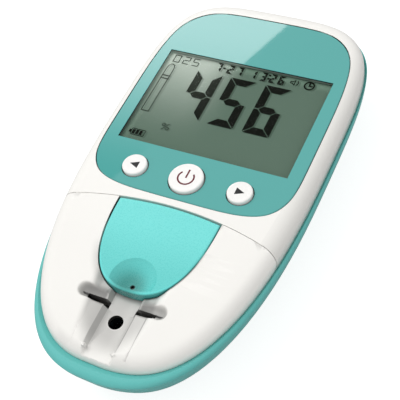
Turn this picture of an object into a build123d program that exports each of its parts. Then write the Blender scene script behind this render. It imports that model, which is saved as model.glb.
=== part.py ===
from build123d import *
from dataclasses import dataclass
import math
import os

# Handheld glycated hemoglobin meter, in millimetres.
# X runs across the meter, Y from its nose (strip end) to its display end, and Z up.
# The origin is under the middle of the meter, on the plane that its rubber feet stand on.


@dataclass(frozen=True)
class Plan:
    """Plan outline made of two superellipse halves that meet where the body is widest."""

    half_width: float
    widest_y: float
    nose_reach: float
    far_reach: float
    nose_power: float
    far_power: float

    def grown(self, amount):
        """Same outline with every reach longer by the amount, or shorter if it is negative."""
        return Plan(
            self.half_width + amount,
            self.widest_y,
            self.nose_reach + amount,
            self.far_reach + amount,
            self.nose_power,
            self.far_power,
        )

    def nose_y(self):
        return self.widest_y - self.nose_reach

    def far_y(self):
        return self.widest_y + self.far_reach


OUTLINE_STEPS = 8
FIT_GAP = 0.3
THIN_GAP = 0.1
CUT_MARGIN = 2.0

# White parts, seen from above
WHITE = Plan(34.8, 17.05, 81.2, 48.8, 2.7, 4.0)
WHITE_WALL = 1.8
WHITE_TOP_WALL = 2.5
WHITE_HEIGHT = 6.8
EDGE_RADIUS = 4.3
NOSE_BEND_Y = -16.45
NOSE_BEND_RADIUS = 400.0
CASE_SEAM_Y = -15.9
CASE_SEAM_RADIUS = 101.3
CASE_SEAM_GAP = 0.2

# Lower shell: a gutter along the white parts, a thin rounded rim, then a flank that turns under
RIM_LAND = 0.75
RIM_LAND_NOSE = 1.9
RIM_HEIGHT = 1.0
RIM_SHOULDER = math.radians(50)
GUTTER_DEPTH = 0.5
GUTTER_SHARE = 0.75
BULGE_SIDE = 1.08
BULGE_NOSE = 4.25
BULGE_FAR = 2.55
BULGE_WIDEST_Y = 10.0
BULGE_NOSE_POWER = 2.57
BULGE_FAR_POWER = 3.9
REBATE_DEPTH = 0.8
SEAT_THICKNESS = 2.3
SHELL_WALL = 1.8
FLANK_TAPER = 9.0
FLANK_POWER = 1.3
FLANK_STEPS = (0.0, 0.08, 0.3, 0.62, 1.0)

# Stack of heights through the display end, from the feet up
FOOT_PROUD = 0.8
FOOT_SUNK = 0.8
FOOT_RADIUS = 3.5
DOOR_THICKNESS = 1.6
CELL_COUNT = 3
CELL_DIAMETER = 10.5
CELL_LENGTH = 43.5
CELL_NUB_LENGTH = 1.0
CELL_NUB_RADIUS = 1.9
BAY_WALL = 1.2
CHIP_HEIGHT = 1.4
CHIP_GAP = 0.4
BOARD_THICKNESS = 1.6
FRAME_FLOOR = 3.2
REFLECTOR_THICKNESS = 0.3
REAR_GLASS = 0.9
FRONT_GLASS = 1.0
WINDOW_THICKNESS = 0.5
PANEL_THICKNESS = 1.0

# Display panel and what lies under it
PANEL = Plan(31.2, 11.8, 25.3, 48.1, 4.6, 4.6)
PANEL_GAP = 0.2
PANEL_EDGE = 0.2
DISPLAY_Y = 21.35
DISPLAY_WIDTH = 54.0
DISPLAY_LENGTH = 37.3
WINDOW_LAP = 1.5
GLASS_LEDGE = 2.0
FRAME_WALL = 1.3
CONNECTOR_WIDTH = 1.4

# Buttons
BUTTON_Y = -6.24
SIDE_BUTTON_X = 16.55
SIDE_BUTTON_RADIUS = 3.7
POWER_BUTTON_RADIUS = 5.1
BUTTON_PROUD = 1.05
BUTTON_EDGE = 0.45
BUTTON_GAP = 0.3
BUTTON_FLANGE = 0.7
FLANGE_THICKNESS = 0.7
STEM_RADIUS = 1.5
STEM_LENGTH = 0.8
SWITCH_SIZE = 5.2
SWITCH_HEIGHT = 1.9
PLUNGER_HEIGHT = 0.5

# Cover flap, its pin and the recess that it lies in
FLAP = Plan(15.6, -16.5, 27.8, 8.0, 2.5, 2.5)
FLAP_GAP = 0.35
FLAP_THICKNESS = 1.8
FLAP_SKIRT = 1.3
FLAP_LIP_GAP = 0.3
FLAP_EDGE = 0.5
FLAP_SOLID_Y = -33.0
FLAP_SKIRT_Y = -26.0
DIMPLE_Y = -41.0
DIMPLE_RADIUS = 6.6
DIMPLE_DEPTH = 2.4
DIMPLE_RIM = 0.9
PORT_Y = -41.6
PORT_RADIUS = 0.5
PIN_Y = -21.0
PIN_DEPTH = 1.4
PIN_RADIUS = 0.6
PIN_FIT = 0.05
PIN_END = 2.4
BARREL_RADIUS = 1.4
PIN_BOSS = 4.0
HINGE_WELL_Y = -25.0

# Strip channel in the nose
CHANNEL_DEPTH = 4.4
CHANNEL_FLOOR_WALL = 1.4
CHANNEL_HALF_WIDTH = 3.9
LEDGE_INNER = 4.85
LEDGE_DEPTH = 2.6
LEDGE_OUTER = 8.2
LEDGE_RISE = 0.3
FLANK_ANGLE = math.radians(30)
VALLEY_ROUND = 3.0
VALLEY_SINK = 1.0
VALLEY_END_Y = -38.0
TROUGH_HALF_WIDTH = 14.8
TROUGH_END_Y = -42.0
TROUGH_WALL = 1.5
SCOOP_Y = -46.96
SCOOP_RADIUS = 2.15
SCOOP_REACH = 13.3
SCOOP_DEPTH = 2.9
SCOOP_EDGE = 0.6
SLOT_Y = -48.3
SLOT_WIDTH = 1.4
SLOT_REACH = 9.7
SENSOR_Y = -52.07
SENSOR_RADIUS = 2.1
NIB_Y = -61.6
NIB_LENGTH = 0.9
NIB_HEIGHT = 0.5

# Optics under the channel
OPTIC_BLOCK_HALF_WIDTH = 8.0
OPTIC_BLOCK_NEAR = 8.0
OPTIC_BLOCK_FAR = 11.0
OPTIC_BLOCK_HEIGHT = 7.2
OPTIC_BORE_RADIUS = 2.6
OPTIC_WINDOW_THICKNESS = 0.8
OPTIC_WINDOW_SET = 0.3
OPTIC_BOARD_THICKNESS = 1.2
OPTIC_SCREW_X = 5.6
OPTIC_SCREW_LENGTH = 5.0
PILLAR_RADIUS = 1.8
LAMP_SIZE = 1.0
DIODE_SIZE = 1.5
RIBBON_WIDTH = 8.0
RIBBON_THICKNESS = 0.3
RIBBON_LAP = 3.0
RIBBON_RUN = 4.5
RIBBON_BEND = 6.0

# Battery bay
BAY_Y = 2.5
CELL_GAP = 0.3
CELL_PITCH = 10.9
SPRING_SPACE = 3.2
CONTACT_THICKNESS = 0.4
CONTACT_WIDTH = 7.0
DOOR_LEDGE = 0.9
DOOR_GAP = 0.25
DOOR_TAB_WIDTH = 3.0
DOOR_TAB_REACH = 2.05
DOOR_TAB_THICKNESS = 0.8
DOOR_GRIP_COUNT = 3
DOOR_GRIP_DEPTH = 0.5
DOOR_GRIP_PITCH = 1.8
DOOR_GRIP_LENGTH = 14.0

# Case screws: under the display, beside the keys and in the nose
DISPLAY_SCREW_PLACES = ((20.8, 48.0), (22.9, -10.5))
NOSE_SCREW_PLACE = (19.0, -33.0)
BOSS_RADIUS = 3.4
BOSS_HEIGHT = 11.2
POST_RADIUS = 2.8
SCREW_HEAD_RADIUS = 2.3
SCREW_HEAD_HEIGHT = 1.6
SCREW_SHANK_RADIUS = 1.1
SCREW_LENGTH = 12.5
SCREW_SEAT = 4.2
SCREW_FIT = 0.05
FOOT_PLACES = ((21.8, 36.0), (13.0, -40.5))
SMALL_SCREW_RADIUS = 0.8
SMALL_HEAD_RADIUS = 1.7
SMALL_HEAD_HEIGHT = 1.0

# Main board
BOARD_HALF_WIDTH = 28.0
BOARD_NEAR_Y = -2.0
BOARD_FAR_Y = 44.5
BOARD_TONGUE_HALF = 19.8
BOARD_TONGUE_Y = -13.0
BOARD_TAIL_HALF = 14.0
BOARD_TAIL_Y = 50.0
BOARD_SCREW_PLACES = ((9.1, -9.5), (10.0, 47.2))
BOARD_POST_RADIUS = 2.0
BOARD_SCREW_LENGTH = 4.4
BUZZER_Y = -4.6
BUZZER_RADIUS = 4.5
BUZZER_HEIGHT = 3.2
CHIPS = ((8.0, 17.0, 10.0, 10.0), (-9.0, 14.0, 6.0, 5.0), (-9.0, 30.0, 4.0, 6.0), (12.0, 34.0, 5.0, 3.0))

# Heights that follow from the stack
UNDERSIDE_Z = FOOT_PROUD
SHELL_FLOOR_Z = UNDERSIDE_Z + SHELL_WALL
DOOR_INNER_Z = UNDERSIDE_Z + DOOR_THICKNESS
CELL_AXIS_Z = DOOR_INNER_Z + CELL_GAP + CELL_DIAMETER / 2
BAY_ROOF_Z = CELL_AXIS_Z + CELL_DIAMETER / 2 + CELL_GAP
BOARD_UNDER_Z = BAY_ROOF_Z + BAY_WALL + CHIP_GAP + CHIP_HEIGHT
BOARD_Z = BOARD_UNDER_Z + BOARD_THICKNESS
REFLECTOR_Z = BOARD_Z + FRAME_FLOOR
REAR_GLASS_Z = REFLECTOR_Z + REFLECTOR_THICKNESS
FRONT_GLASS_Z = REAR_GLASS_Z + REAR_GLASS
GLASS_TOP_Z = FRONT_GLASS_Z + FRONT_GLASS
WINDOW_Z = GLASS_TOP_Z + THIN_GAP
PANEL_FLOOR_Z = WINDOW_Z + WINDOW_THICKNESS
TOP_Z = PANEL_FLOOR_Z + PANEL_THICKNESS
CASE_UNDER_Z = TOP_Z - WHITE_TOP_WALL
REBATE_Z = TOP_Z - WHITE_HEIGHT
SEAT_Z = REBATE_Z - SEAT_THICKNESS
RIM_Z = REBATE_Z + REBATE_DEPTH
BULGE_Z = RIM_Z - RIM_HEIGHT
CHANNEL_Z = TOP_Z - CHANNEL_DEPTH
CHANNEL_UNDER_Z = CHANNEL_Z - CHANNEL_FLOOR_WALL
LEDGE_Z = TOP_Z - LEDGE_DEPTH
BOSS_TOP_Z = UNDERSIDE_Z + BOSS_HEIGHT
SCREW_SEAT_Z = UNDERSIDE_Z + SCREW_SEAT
OPTIC_BLOCK_Z = CHANNEL_UNDER_Z - OPTIC_BLOCK_HEIGHT
OPTIC_BOARD_Z = OPTIC_BLOCK_Z - OPTIC_BOARD_THICKNESS
PIN_Z = TOP_Z - PIN_DEPTH
HIGH_Z = TOP_Z + 10.0

# Places and lengths that follow
SCREW_PLACES = (*DISPLAY_SCREW_PLACES, NOSE_SCREW_PLACE)
BAY_HALF_WIDTH = CELL_COUNT / 2 * CELL_PITCH + CELL_GAP
BAY_LENGTH = CELL_LENGTH + CELL_NUB_LENGTH + SPRING_SPACE + 2 * CONTACT_THICKNESS + CELL_GAP
BAY_FAR_Y = BAY_Y + BAY_LENGTH
DOOR_Y = BAY_Y - DOOR_LEDGE
DOOR_FAR_Y = BAY_FAR_Y + DOOR_LEDGE
DOOR_HALF_WIDTH = BAY_HALF_WIDTH + DOOR_LEDGE
WINDOW_WIDTH = DISPLAY_WIDTH + 2 * WINDOW_LAP
WINDOW_LENGTH = DISPLAY_LENGTH + 2 * WINDOW_LAP
BUTTONS = {
    "left_button": (-SIDE_BUTTON_X, SIDE_BUTTON_RADIUS),
    "power_button": (0.0, POWER_BUTTON_RADIUS),
    "right_button": (SIDE_BUTTON_X, SIDE_BUTTON_RADIUS),
}

BULGE = Plan(
    WHITE.half_width + BULGE_SIDE,
    BULGE_WIDEST_Y,
    BULGE_WIDEST_Y - (WHITE.nose_y() - BULGE_NOSE),
    WHITE.far_y() + BULGE_FAR - BULGE_WIDEST_Y,
    BULGE_NOSE_POWER,
    BULGE_FAR_POWER,
)
RIM = Plan(
    WHITE.half_width + RIM_LAND,
    WHITE.widest_y,
    WHITE.nose_reach + RIM_LAND_NOSE,
    WHITE.far_reach + RIM_LAND,
    WHITE.nose_power,
    WHITE.far_power,
)


def mixed(first, second, share):
    """Outline part of the way from the first to the second."""
    keep = 1 - share
    return Plan(
        first.half_width * keep + second.half_width * share,
        first.widest_y * keep + second.widest_y * share,
        first.nose_reach * keep + second.nose_reach * share,
        first.far_reach * keep + second.far_reach * share,
        first.nose_power * keep + second.nose_power * share,
        first.far_power * keep + second.far_power * share,
    )


def plan_face(plan, z):
    """Face of a plan outline at a height, bounded by one closed spline that starts at the nose."""
    points = []
    for step in range(4 * OUTLINE_STEPS):
        turn = math.pi / 2 * (step / OUTLINE_STEPS - 1)
        across = math.cos(turn)
        along = math.sin(turn)
        power = plan.far_power if along >= 0 else plan.nose_power
        reach = plan.far_reach if along >= 0 else plan.nose_reach
        size = (abs(across) ** power + abs(along) ** power) ** (-1 / power)
        points.append((plan.half_width * size * across, plan.widest_y + reach * size * along))
    return Pos(0, 0, z) * make_face(Spline(*points, periodic=True))


def slab(plan, low, high):
    return extrude(plan_face(plan, low), amount=high - low, dir=(0, 0, 1))


def block(x_low, x_high, y_low, y_high, z_low, z_high):
    centre = Pos((x_low + x_high) / 2, (y_low + y_high) / 2, (z_low + z_high) / 2)
    return centre * Box(x_high - x_low, y_high - y_low, z_high - z_low)


def between(x_first, x_second, y_low, y_high, z_low, z_high):
    """Block between two x values that may come in either order."""
    return block(min(x_first, x_second), max(x_first, x_second), y_low, y_high, z_low, z_high)


def rod(x, y, z_low, z_high, radius):
    return Pos(x, y, (z_low + z_high) / 2) * Cylinder(radius, z_high - z_low)


def cross_rod(y, z, half_length, radius):
    """Cylinder along X, centred on the middle of the meter."""
    return Pos(0, y, z) * Rot(0, 90, 0) * Cylinder(radius, 2 * half_length)


def prism_along_y(corners, y_low, y_high):
    """Solid with a section given as (x, z) corners."""
    face = Plane.XZ * make_face(Polyline(*corners, close=True))
    return Pos(0, y_low, 0) * extrude(face, amount=y_high - y_low, dir=(0, 1, 0))


def both_sides(places):
    """Each (x, y) place and its mirror image across the middle of the meter."""
    return [(side * x, y) for x, y in places for side in (-1, 1)]


def under_top(drop):
    """Everything below the top surface: flat over the display, then a long bend down to the nose."""
    top = TOP_Z - drop
    radius = NOSE_BEND_RADIUS - drop
    end_y = BULGE.nose_y() - CUT_MARGIN
    middle_y = (NOSE_BEND_Y + end_y) / 2
    far_y = BULGE.far_y() + CUT_MARGIN

    def height(y):
        return top - radius + math.sqrt(radius**2 - (y - NOSE_BEND_Y) ** 2)

    bend = ThreePointArc((NOSE_BEND_Y, top), (middle_y, height(middle_y)), (end_y, height(end_y)))
    rest = Polyline((end_y, height(end_y)), (end_y, 0), (far_y, 0), (far_y, top), (NOSE_BEND_Y, top))
    face = Plane.YZ * make_face([*bend.edges(), *rest.edges()])
    return extrude(face, amount=BULGE.half_width + CUT_MARGIN, both=True)


def white_form(inset, drop, low):
    """Body of the white parts before it is divided, with a rounded top edge."""
    body = slab(WHITE.grown(-inset), low, HIGH_Z) & under_top(drop)
    top_edges = [edge for edge in body.edges() if edge.bounding_box().min.Z > low + THIN_GAP]
    return fillet(top_edges, EDGE_RADIUS - inset)


def nose_side(shape, gap):
    """The stretch of a shape on the nose side of the cross seam."""
    radius = CASE_SEAM_RADIUS - gap
    centre_y = CASE_SEAM_Y - CASE_SEAM_RADIUS
    return shape & rod(0, centre_y, 0, HIGH_Z, radius)


def display_side(shape, gap):
    """The stretch of a shape on the display side of the cross seam."""
    radius = CASE_SEAM_RADIUS + gap
    centre_y = CASE_SEAM_Y - CASE_SEAM_RADIUS
    return shape - rod(0, centre_y, 0, HIGH_Z, radius)


def screw_post(x, y, top):
    """Post that a case screw bites into, down to the boss that it stands on."""
    hole = rod(x, y, BOSS_TOP_Z, SCREW_SEAT_Z + SCREW_LENGTH + FIT_GAP, SCREW_SHANK_RADIUS + SCREW_FIT)
    return rod(x, y, BOSS_TOP_Z, top, POST_RADIUS) - hole


def flank_inset(z):
    """How far the flank of the lower shell lies inside its widest outline at a height."""
    share = (z - UNDERSIDE_Z) / (BULGE_Z - UNDERSIDE_Z)
    rounding = max(1 - (1 - share) ** FLANK_POWER, 0.0) ** (1 / FLANK_POWER)
    return FLANK_TAPER * (1 - rounding)


def flank_form(inset, low):
    """Solid of the lower shell from a height up to its widest outline."""
    sections = []
    for step in FLANK_STEPS:
        z = low + step * (BULGE_Z - low)
        sections.append(plan_face(BULGE.grown(-flank_inset(z) - inset), z))
    return loft(sections)


def rim_form():
    """Rounded rim from the widest outline up and in to the white parts."""
    sections = []
    for turn in (0.0, RIM_SHOULDER, math.pi / 2):
        plan = mixed(BULGE, RIM, 1 - math.cos(turn))
        sections.append(plan_face(plan, BULGE_Z + RIM_HEIGHT * math.sin(turn)))
    return loft(sections)


def gutter_form():
    """Leaning groove between the foot of the white parts and the crest of the rim."""
    foot = WHITE.grown(FIT_GAP)
    crest = mixed(foot, RIM, GUTTER_SHARE)
    return loft([plan_face(foot, RIM_Z - GUTTER_DEPTH), plan_face(crest, RIM_Z)], ruled=True)


def battery_bay():
    """Block round the cells, before they are cut out of it."""
    half_width = BAY_HALF_WIDTH + BAY_WALL
    return block(-half_width, half_width, BAY_Y - BAY_WALL, BAY_FAR_Y + BAY_WALL,
                 SHELL_FLOOR_Z - THIN_GAP, BAY_ROOF_Z + BAY_WALL)


def lower_shell():
    shell = flank_form(0, UNDERSIDE_Z) + rim_form()
    below_seat = block(-BULGE.half_width, BULGE.half_width, BULGE.nose_y(), BULGE.far_y(), 0, SEAT_Z)
    shell -= flank_form(SHELL_WALL, SHELL_FLOOR_Z) & below_seat
    shell -= slab(WHITE.grown(-WHITE_WALL), SEAT_Z - THIN_GAP, HIGH_Z)
    shell -= slab(WHITE.grown(FIT_GAP), REBATE_Z, HIGH_Z)
    shell -= gutter_form()
    shell += battery_bay()
    for x, y in both_sides(SCREW_PLACES):
        shell += rod(x, y, SHELL_FLOOR_Z - THIN_GAP, BOSS_TOP_Z, BOSS_RADIUS)
    for x, y in both_sides(((OPTIC_SCREW_X, SENSOR_Y - OPTIC_BLOCK_NEAR / 2),)):
        shell += rod(x, y, SHELL_FLOOR_Z - THIN_GAP, OPTIC_BOARD_Z, PILLAR_RADIUS)
    shell -= block(-BAY_HALF_WIDTH, BAY_HALF_WIDTH, BAY_Y, BAY_FAR_Y, 0, BAY_ROOF_Z)
    shell -= block(-DOOR_HALF_WIDTH, DOOR_HALF_WIDTH, DOOR_Y, DOOR_FAR_Y, 0, DOOR_INNER_Z)
    for x in (-CELL_PITCH / 2, CELL_PITCH / 2):
        half = DOOR_TAB_WIDTH / 2 + FIT_GAP
        shell -= block(x - half, x + half, DOOR_Y - DOOR_TAB_REACH - FIT_GAP, BAY_Y + THIN_GAP,
                       DOOR_INNER_Z, SHELL_FLOOR_Z + 2 * DOOR_TAB_THICKNESS + FIT_GAP)
    for x, y in both_sides(SCREW_PLACES):
        shell -= rod(x, y, 0, SCREW_SEAT_Z, SCREW_HEAD_RADIUS + FIT_GAP)
        shell -= rod(x, y, 0, HIGH_Z, SCREW_SHANK_RADIUS + FIT_GAP)
    for x, y in both_sides(FOOT_PLACES):
        shell -= rod(x, y, 0, UNDERSIDE_Z + FOOT_SUNK, FOOT_RADIUS + THIN_GAP)
    return shell


def upper_case():
    case = white_form(0, 0, REBATE_Z)
    case -= white_form(WHITE_WALL, WHITE_TOP_WALL, REBATE_Z - CUT_MARGIN)
    case = display_side(case, CASE_SEAM_GAP / 2)
    for x, y in both_sides(DISPLAY_SCREW_PLACES):
        case += screw_post(x, y, CASE_UNDER_Z + THIN_GAP)
    hole_top = BOARD_UNDER_Z + BOARD_SCREW_LENGTH + FIT_GAP
    for x, y in both_sides(BOARD_SCREW_PLACES):
        case += rod(x, y, BOARD_Z, CASE_UNDER_Z + THIN_GAP, BOARD_POST_RADIUS)
        case -= rod(x, y, BOARD_Z, hole_top, SMALL_SCREW_RADIUS + SCREW_FIT)
    case -= slab(PANEL.grown(PANEL_GAP), PANEL_FLOOR_Z, HIGH_Z)
    case -= display_opening(FIT_GAP)
    for x, radius in BUTTONS.values():
        case -= rod(x, BUTTON_Y, 0, HIGH_Z, radius + BUTTON_GAP)
    return case


def display_opening(gap):
    """Space for the window and the glass, right through the wall of the case."""
    half_width = WINDOW_WIDTH / 2 + gap
    half_length = WINDOW_LENGTH / 2 + gap
    return block(-half_width, half_width, DISPLAY_Y - half_length, DISPLAY_Y + half_length,
                 CASE_UNDER_Z - CUT_MARGIN, HIGH_Z)


def soft_nose():
    """Outside of the nose: a shallow valley whose flanks roll over into the top, with ledges as its floor."""
    ledge_out_z = LEDGE_Z + LEDGE_RISE
    low_z = ledge_out_z - VALLEY_SINK
    low_x = LEDGE_OUTER - VALLEY_SINK / math.tan(FLANK_ANGLE)
    high_x = LEDGE_OUTER + (HIGH_Z - ledge_out_z) / math.tan(FLANK_ANGLE)
    valley = [(-low_x, low_z), (low_x, low_z), (high_x, HIGH_Z), (-high_x, HIGH_Z)]
    plain = nose_side(white_form(0, 0, REBATE_Z), CASE_SEAM_GAP / 2)
    nose = plain - prism_along_y(valley, BULGE.nose_y(), VALLEY_END_Y)
    crests = []
    for edge in nose.edges():
        box = edge.bounding_box()
        on_flank = box.min.Z > low_z - THIN_GAP and abs(box.min.X + box.max.X) / 2 > low_x + THIN_GAP
        along = box.max.Y < VALLEY_END_Y + THIN_GAP and box.max.Y - box.min.Y > CUT_MARGIN / 2
        if on_flank and along and box.max.Z - box.min.Z > FIT_GAP:
            crests.append(edge)
    nose = fillet(crests, VALLEY_ROUND)
    ledges = [(-LEDGE_OUTER, 0), (LEDGE_OUTER, 0), (LEDGE_OUTER, ledge_out_z), (LEDGE_INNER, LEDGE_Z),
              (-LEDGE_INNER, LEDGE_Z), (-LEDGE_OUTER, ledge_out_z)]
    return nose + (plain & prism_along_y(ledges, BULGE.nose_y(), VALLEY_END_Y + THIN_GAP))


def channel_groove():
    """Narrow floor of the strip channel between leaning walls."""
    section = [(-CHANNEL_HALF_WIDTH, CHANNEL_Z), (CHANNEL_HALF_WIDTH, CHANNEL_Z), (LEDGE_INNER, LEDGE_Z),
               (LEDGE_INNER, HIGH_Z), (-LEDGE_INNER, HIGH_Z), (-LEDGE_INNER, LEDGE_Z)]
    return prism_along_y(section, BULGE.nose_y(), SLOT_Y)


def scoop_cut(side):
    """Fingertip scoop beside the flap."""
    middle = side * (SCOOP_REACH - SCOOP_RADIUS)
    z = TOP_Z - SCOOP_DEPTH + SCOOP_RADIUS
    groove = Pos(middle / 2, SCOOP_Y, z) * Rot(0, 90, 0) * Cylinder(SCOOP_RADIUS, abs(middle))
    end = Pos(middle, SCOOP_Y, z) * Sphere(SCOOP_RADIUS)
    above = rod(middle, SCOOP_Y, z, HIGH_Z, SCOOP_RADIUS)
    above += between(0, middle, SCOOP_Y - SCOOP_RADIUS, SCOOP_Y + SCOOP_RADIUS, z, HIGH_Z)
    return groove + end + above


def scoop_rims(nose):
    """Upper edges of the scoops, apart from the crisp ones on the ledges in front of the slots."""
    rims = []
    for edge in nose.edges():
        box = edge.bounding_box()
        reach = SCOOP_RADIUS + THIN_GAP
        inside = box.min.Y > SCOOP_Y - reach and box.max.Y < SCOOP_Y + reach and box.min.Z > LEDGE_Z - THIN_GAP
        beside = max(abs(box.min.X), abs(box.max.X)) > LEDGE_INNER - THIN_GAP
        runs_out = box.max.X - box.min.X > THIN_GAP
        before_slot = box.max.Y < SCOOP_Y and max(abs(box.min.X), abs(box.max.X)) < LEDGE_OUTER + THIN_GAP
        if inside and beside and runs_out and not before_slot:
            rims.append(edge)
    return rims


def slot_cut(side):
    """Narrow slot along the front of a scoop."""
    return between(side * CHANNEL_HALF_WIDTH, side * SLOT_REACH,
                   SLOT_Y - SLOT_WIDTH / 2, SLOT_Y + SLOT_WIDTH / 2, 0, HIGH_Z)


def front_housing():
    outside = soft_nose() - (scoop_cut(-1) + scoop_cut(1))
    outside = fillet(scoop_rims(outside), SCOOP_EDGE)
    housing = outside - white_form(WHITE_WALL, WHITE_TOP_WALL, REBATE_Z - CUT_MARGIN)
    trough = slab(FLAP.grown(FLAP_GAP + TROUGH_WALL), CHANNEL_UNDER_Z, HIGH_Z)
    trough -= block(-WHITE.half_width, WHITE.half_width, HINGE_WELL_Y, WHITE.far_y(), 0, CASE_UNDER_Z)
    trough += block(-TROUGH_HALF_WIDTH, TROUGH_HALF_WIDTH, BULGE.nose_y(), TROUGH_END_Y,
                    CHANNEL_UNDER_Z, HIGH_Z)
    housing += trough & outside
    for side in (-1, 1):
        housing += between(side * (FLAP.half_width - THIN_GAP), side * (FLAP.half_width + PIN_BOSS),
                           PIN_Y - PIN_END, PIN_Y + PIN_END, PIN_Z - PIN_END, CASE_UNDER_Z + THIN_GAP)
    for x, y in both_sides((NOSE_SCREW_PLACE,)):
        housing += screw_post(x, y, CASE_UNDER_Z)
    recess = slab(FLAP.grown(FLAP_GAP), CHANNEL_Z, HIGH_Z)
    well = slab(FLAP.grown(FLAP_GAP), 0, HIGH_Z)
    well &= block(-WHITE.half_width, WHITE.half_width, HINGE_WELL_Y, WHITE.far_y(), 0, HIGH_Z)
    housing -= recess + well
    housing -= channel_groove()
    housing -= slot_cut(-1) + slot_cut(1)
    housing -= rod(0, SENSOR_Y, 0, HIGH_Z, SENSOR_RADIUS)
    housing -= cross_rod(PIN_Y, PIN_Z, FLAP.half_width + PIN_END, PIN_RADIUS + PIN_FIT)
    for side in (-1, 1):
        x = side * (CHANNEL_HALF_WIDTH + LEDGE_INNER) / 2
        housing += block(x - NIB_HEIGHT, x + NIB_HEIGHT, NIB_Y, NIB_Y + NIB_LENGTH, CHANNEL_UNDER_Z, LEDGE_Z)
    return housing


def cover_flap():
    outline = nose_side(slab(FLAP, 0, HIGH_Z), CASE_SEAM_GAP / 2 + FLAP_GAP)
    body = outline & white_form(0, 0, REBATE_Z)
    lip = [edge for edge in body.edges() if edge.geom_type == GeomType.BSPLINE and edge.center().Z > LEDGE_Z]
    body = fillet(lip, FLAP_EDGE)
    lip_z = CHANNEL_Z + FLAP_LIP_GAP
    inside = slab(FLAP.grown(-FLAP_SKIRT), 0, HIGH_Z) & under_top(FLAP_THICKNESS)
    inside &= block(-FLAP.half_width, FLAP.half_width, FLAP_SOLID_Y, WHITE.far_y(), 0, HIGH_Z)
    flap = body - inside
    flap -= block(-WHITE.half_width, WHITE.half_width, BULGE.nose_y(), WHITE.far_y(), 0, lip_z)
    flap -= block(-WHITE.half_width, WHITE.half_width, FLAP_SKIRT_Y, WHITE.far_y(), 0, TOP_Z - FLAP_THICKNESS)
    flap += cross_rod(PIN_Y, PIN_Z, FLAP.half_width - FLAP_GAP, BARREL_RADIUS) & body
    ball = (DIMPLE_RADIUS**2 + DIMPLE_DEPTH**2) / (2 * DIMPLE_DEPTH)
    drop = NOSE_BEND_RADIUS - math.sqrt(NOSE_BEND_RADIUS**2 - (DIMPLE_Y - NOSE_BEND_Y) ** 2)
    dimple = Pos(0, DIMPLE_Y, TOP_Z - drop - DIMPLE_DEPTH + ball) * Sphere(ball)
    flap -= dimple & slab(FLAP.grown(-DIMPLE_RIM), 0, HIGH_Z)
    flap -= rod(0, PORT_Y, 0, HIGH_Z, PORT_RADIUS)
    flap -= cross_rod(PIN_Y, PIN_Z, WHITE.half_width, PIN_RADIUS + PIN_FIT)
    return flap


def flap_pin():
    return cross_rod(PIN_Y, PIN_Z, FLAP.half_width + PIN_END - THIN_GAP, PIN_RADIUS)


def display_panel():
    panel = slab(PANEL, PANEL_FLOOR_Z, TOP_Z)
    panel = chamfer(panel.faces().sort_by(Axis.Z)[-1].edges(), PANEL_EDGE)
    panel -= block(-DISPLAY_WIDTH / 2, DISPLAY_WIDTH / 2, DISPLAY_Y - DISPLAY_LENGTH / 2,
                   DISPLAY_Y + DISPLAY_LENGTH / 2, 0, HIGH_Z)
    for x, radius in BUTTONS.values():
        panel -= rod(x, BUTTON_Y, 0, HIGH_Z, radius + BUTTON_GAP)
    return panel


def centred_plate(width, length, low, high):
    """Plate under the display opening."""
    return block(-width / 2, width / 2, DISPLAY_Y - length / 2, DISPLAY_Y + length / 2, low, high)


def display_window():
    return centred_plate(WINDOW_WIDTH, WINDOW_LENGTH, WINDOW_Z, PANEL_FLOOR_Z)


def lcd_cell():
    front = centred_plate(WINDOW_WIDTH - FIT_GAP, WINDOW_LENGTH - FIT_GAP, FRONT_GLASS_Z, GLASS_TOP_Z)
    rear = centred_plate(WINDOW_WIDTH - FIT_GAP, WINDOW_LENGTH - FIT_GAP - 2 * GLASS_LEDGE,
                         REAR_GLASS_Z, FRONT_GLASS_Z)
    return front + rear


def lcd_reflector():
    return centred_plate(WINDOW_WIDTH - 2 * GLASS_LEDGE, WINDOW_LENGTH - 3 * GLASS_LEDGE,
                         REFLECTOR_Z, REAR_GLASS_Z)


def lcd_frame():
    frame = centred_plate(WINDOW_WIDTH + 2 * FRAME_WALL, WINDOW_LENGTH + 2 * FRAME_WALL,
                          BOARD_Z, CASE_UNDER_Z - THIN_GAP)
    frame -= centred_plate(WINDOW_WIDTH, WINDOW_LENGTH, REFLECTOR_Z, HIGH_Z)
    frame -= centred_plate(DISPLAY_WIDTH - 4 * GLASS_LEDGE, DISPLAY_LENGTH - 4 * GLASS_LEDGE,
                           BOARD_Z + FRAME_WALL, HIGH_Z)
    for y in connector_places():
        half_width = DISPLAY_WIDTH / 2 - GLASS_LEDGE + FIT_GAP
        half_depth = CONNECTOR_WIDTH / 2 + THIN_GAP
        frame -= block(-half_width, half_width, y - half_depth, y + half_depth, 0, HIGH_Z)
    return frame


def connector_places():
    """Middle of the glass ledge at each end of the display."""
    reach = (WINDOW_LENGTH - FIT_GAP - GLASS_LEDGE) / 2
    return (DISPLAY_Y - reach, DISPLAY_Y + reach)


def lcd_connectors():
    half_width = DISPLAY_WIDTH / 2 - GLASS_LEDGE
    half_depth = CONNECTOR_WIDTH / 2
    return [block(-half_width, half_width, y - half_depth, y + half_depth, BOARD_Z, FRONT_GLASS_Z)
            for y in connector_places()]


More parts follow.
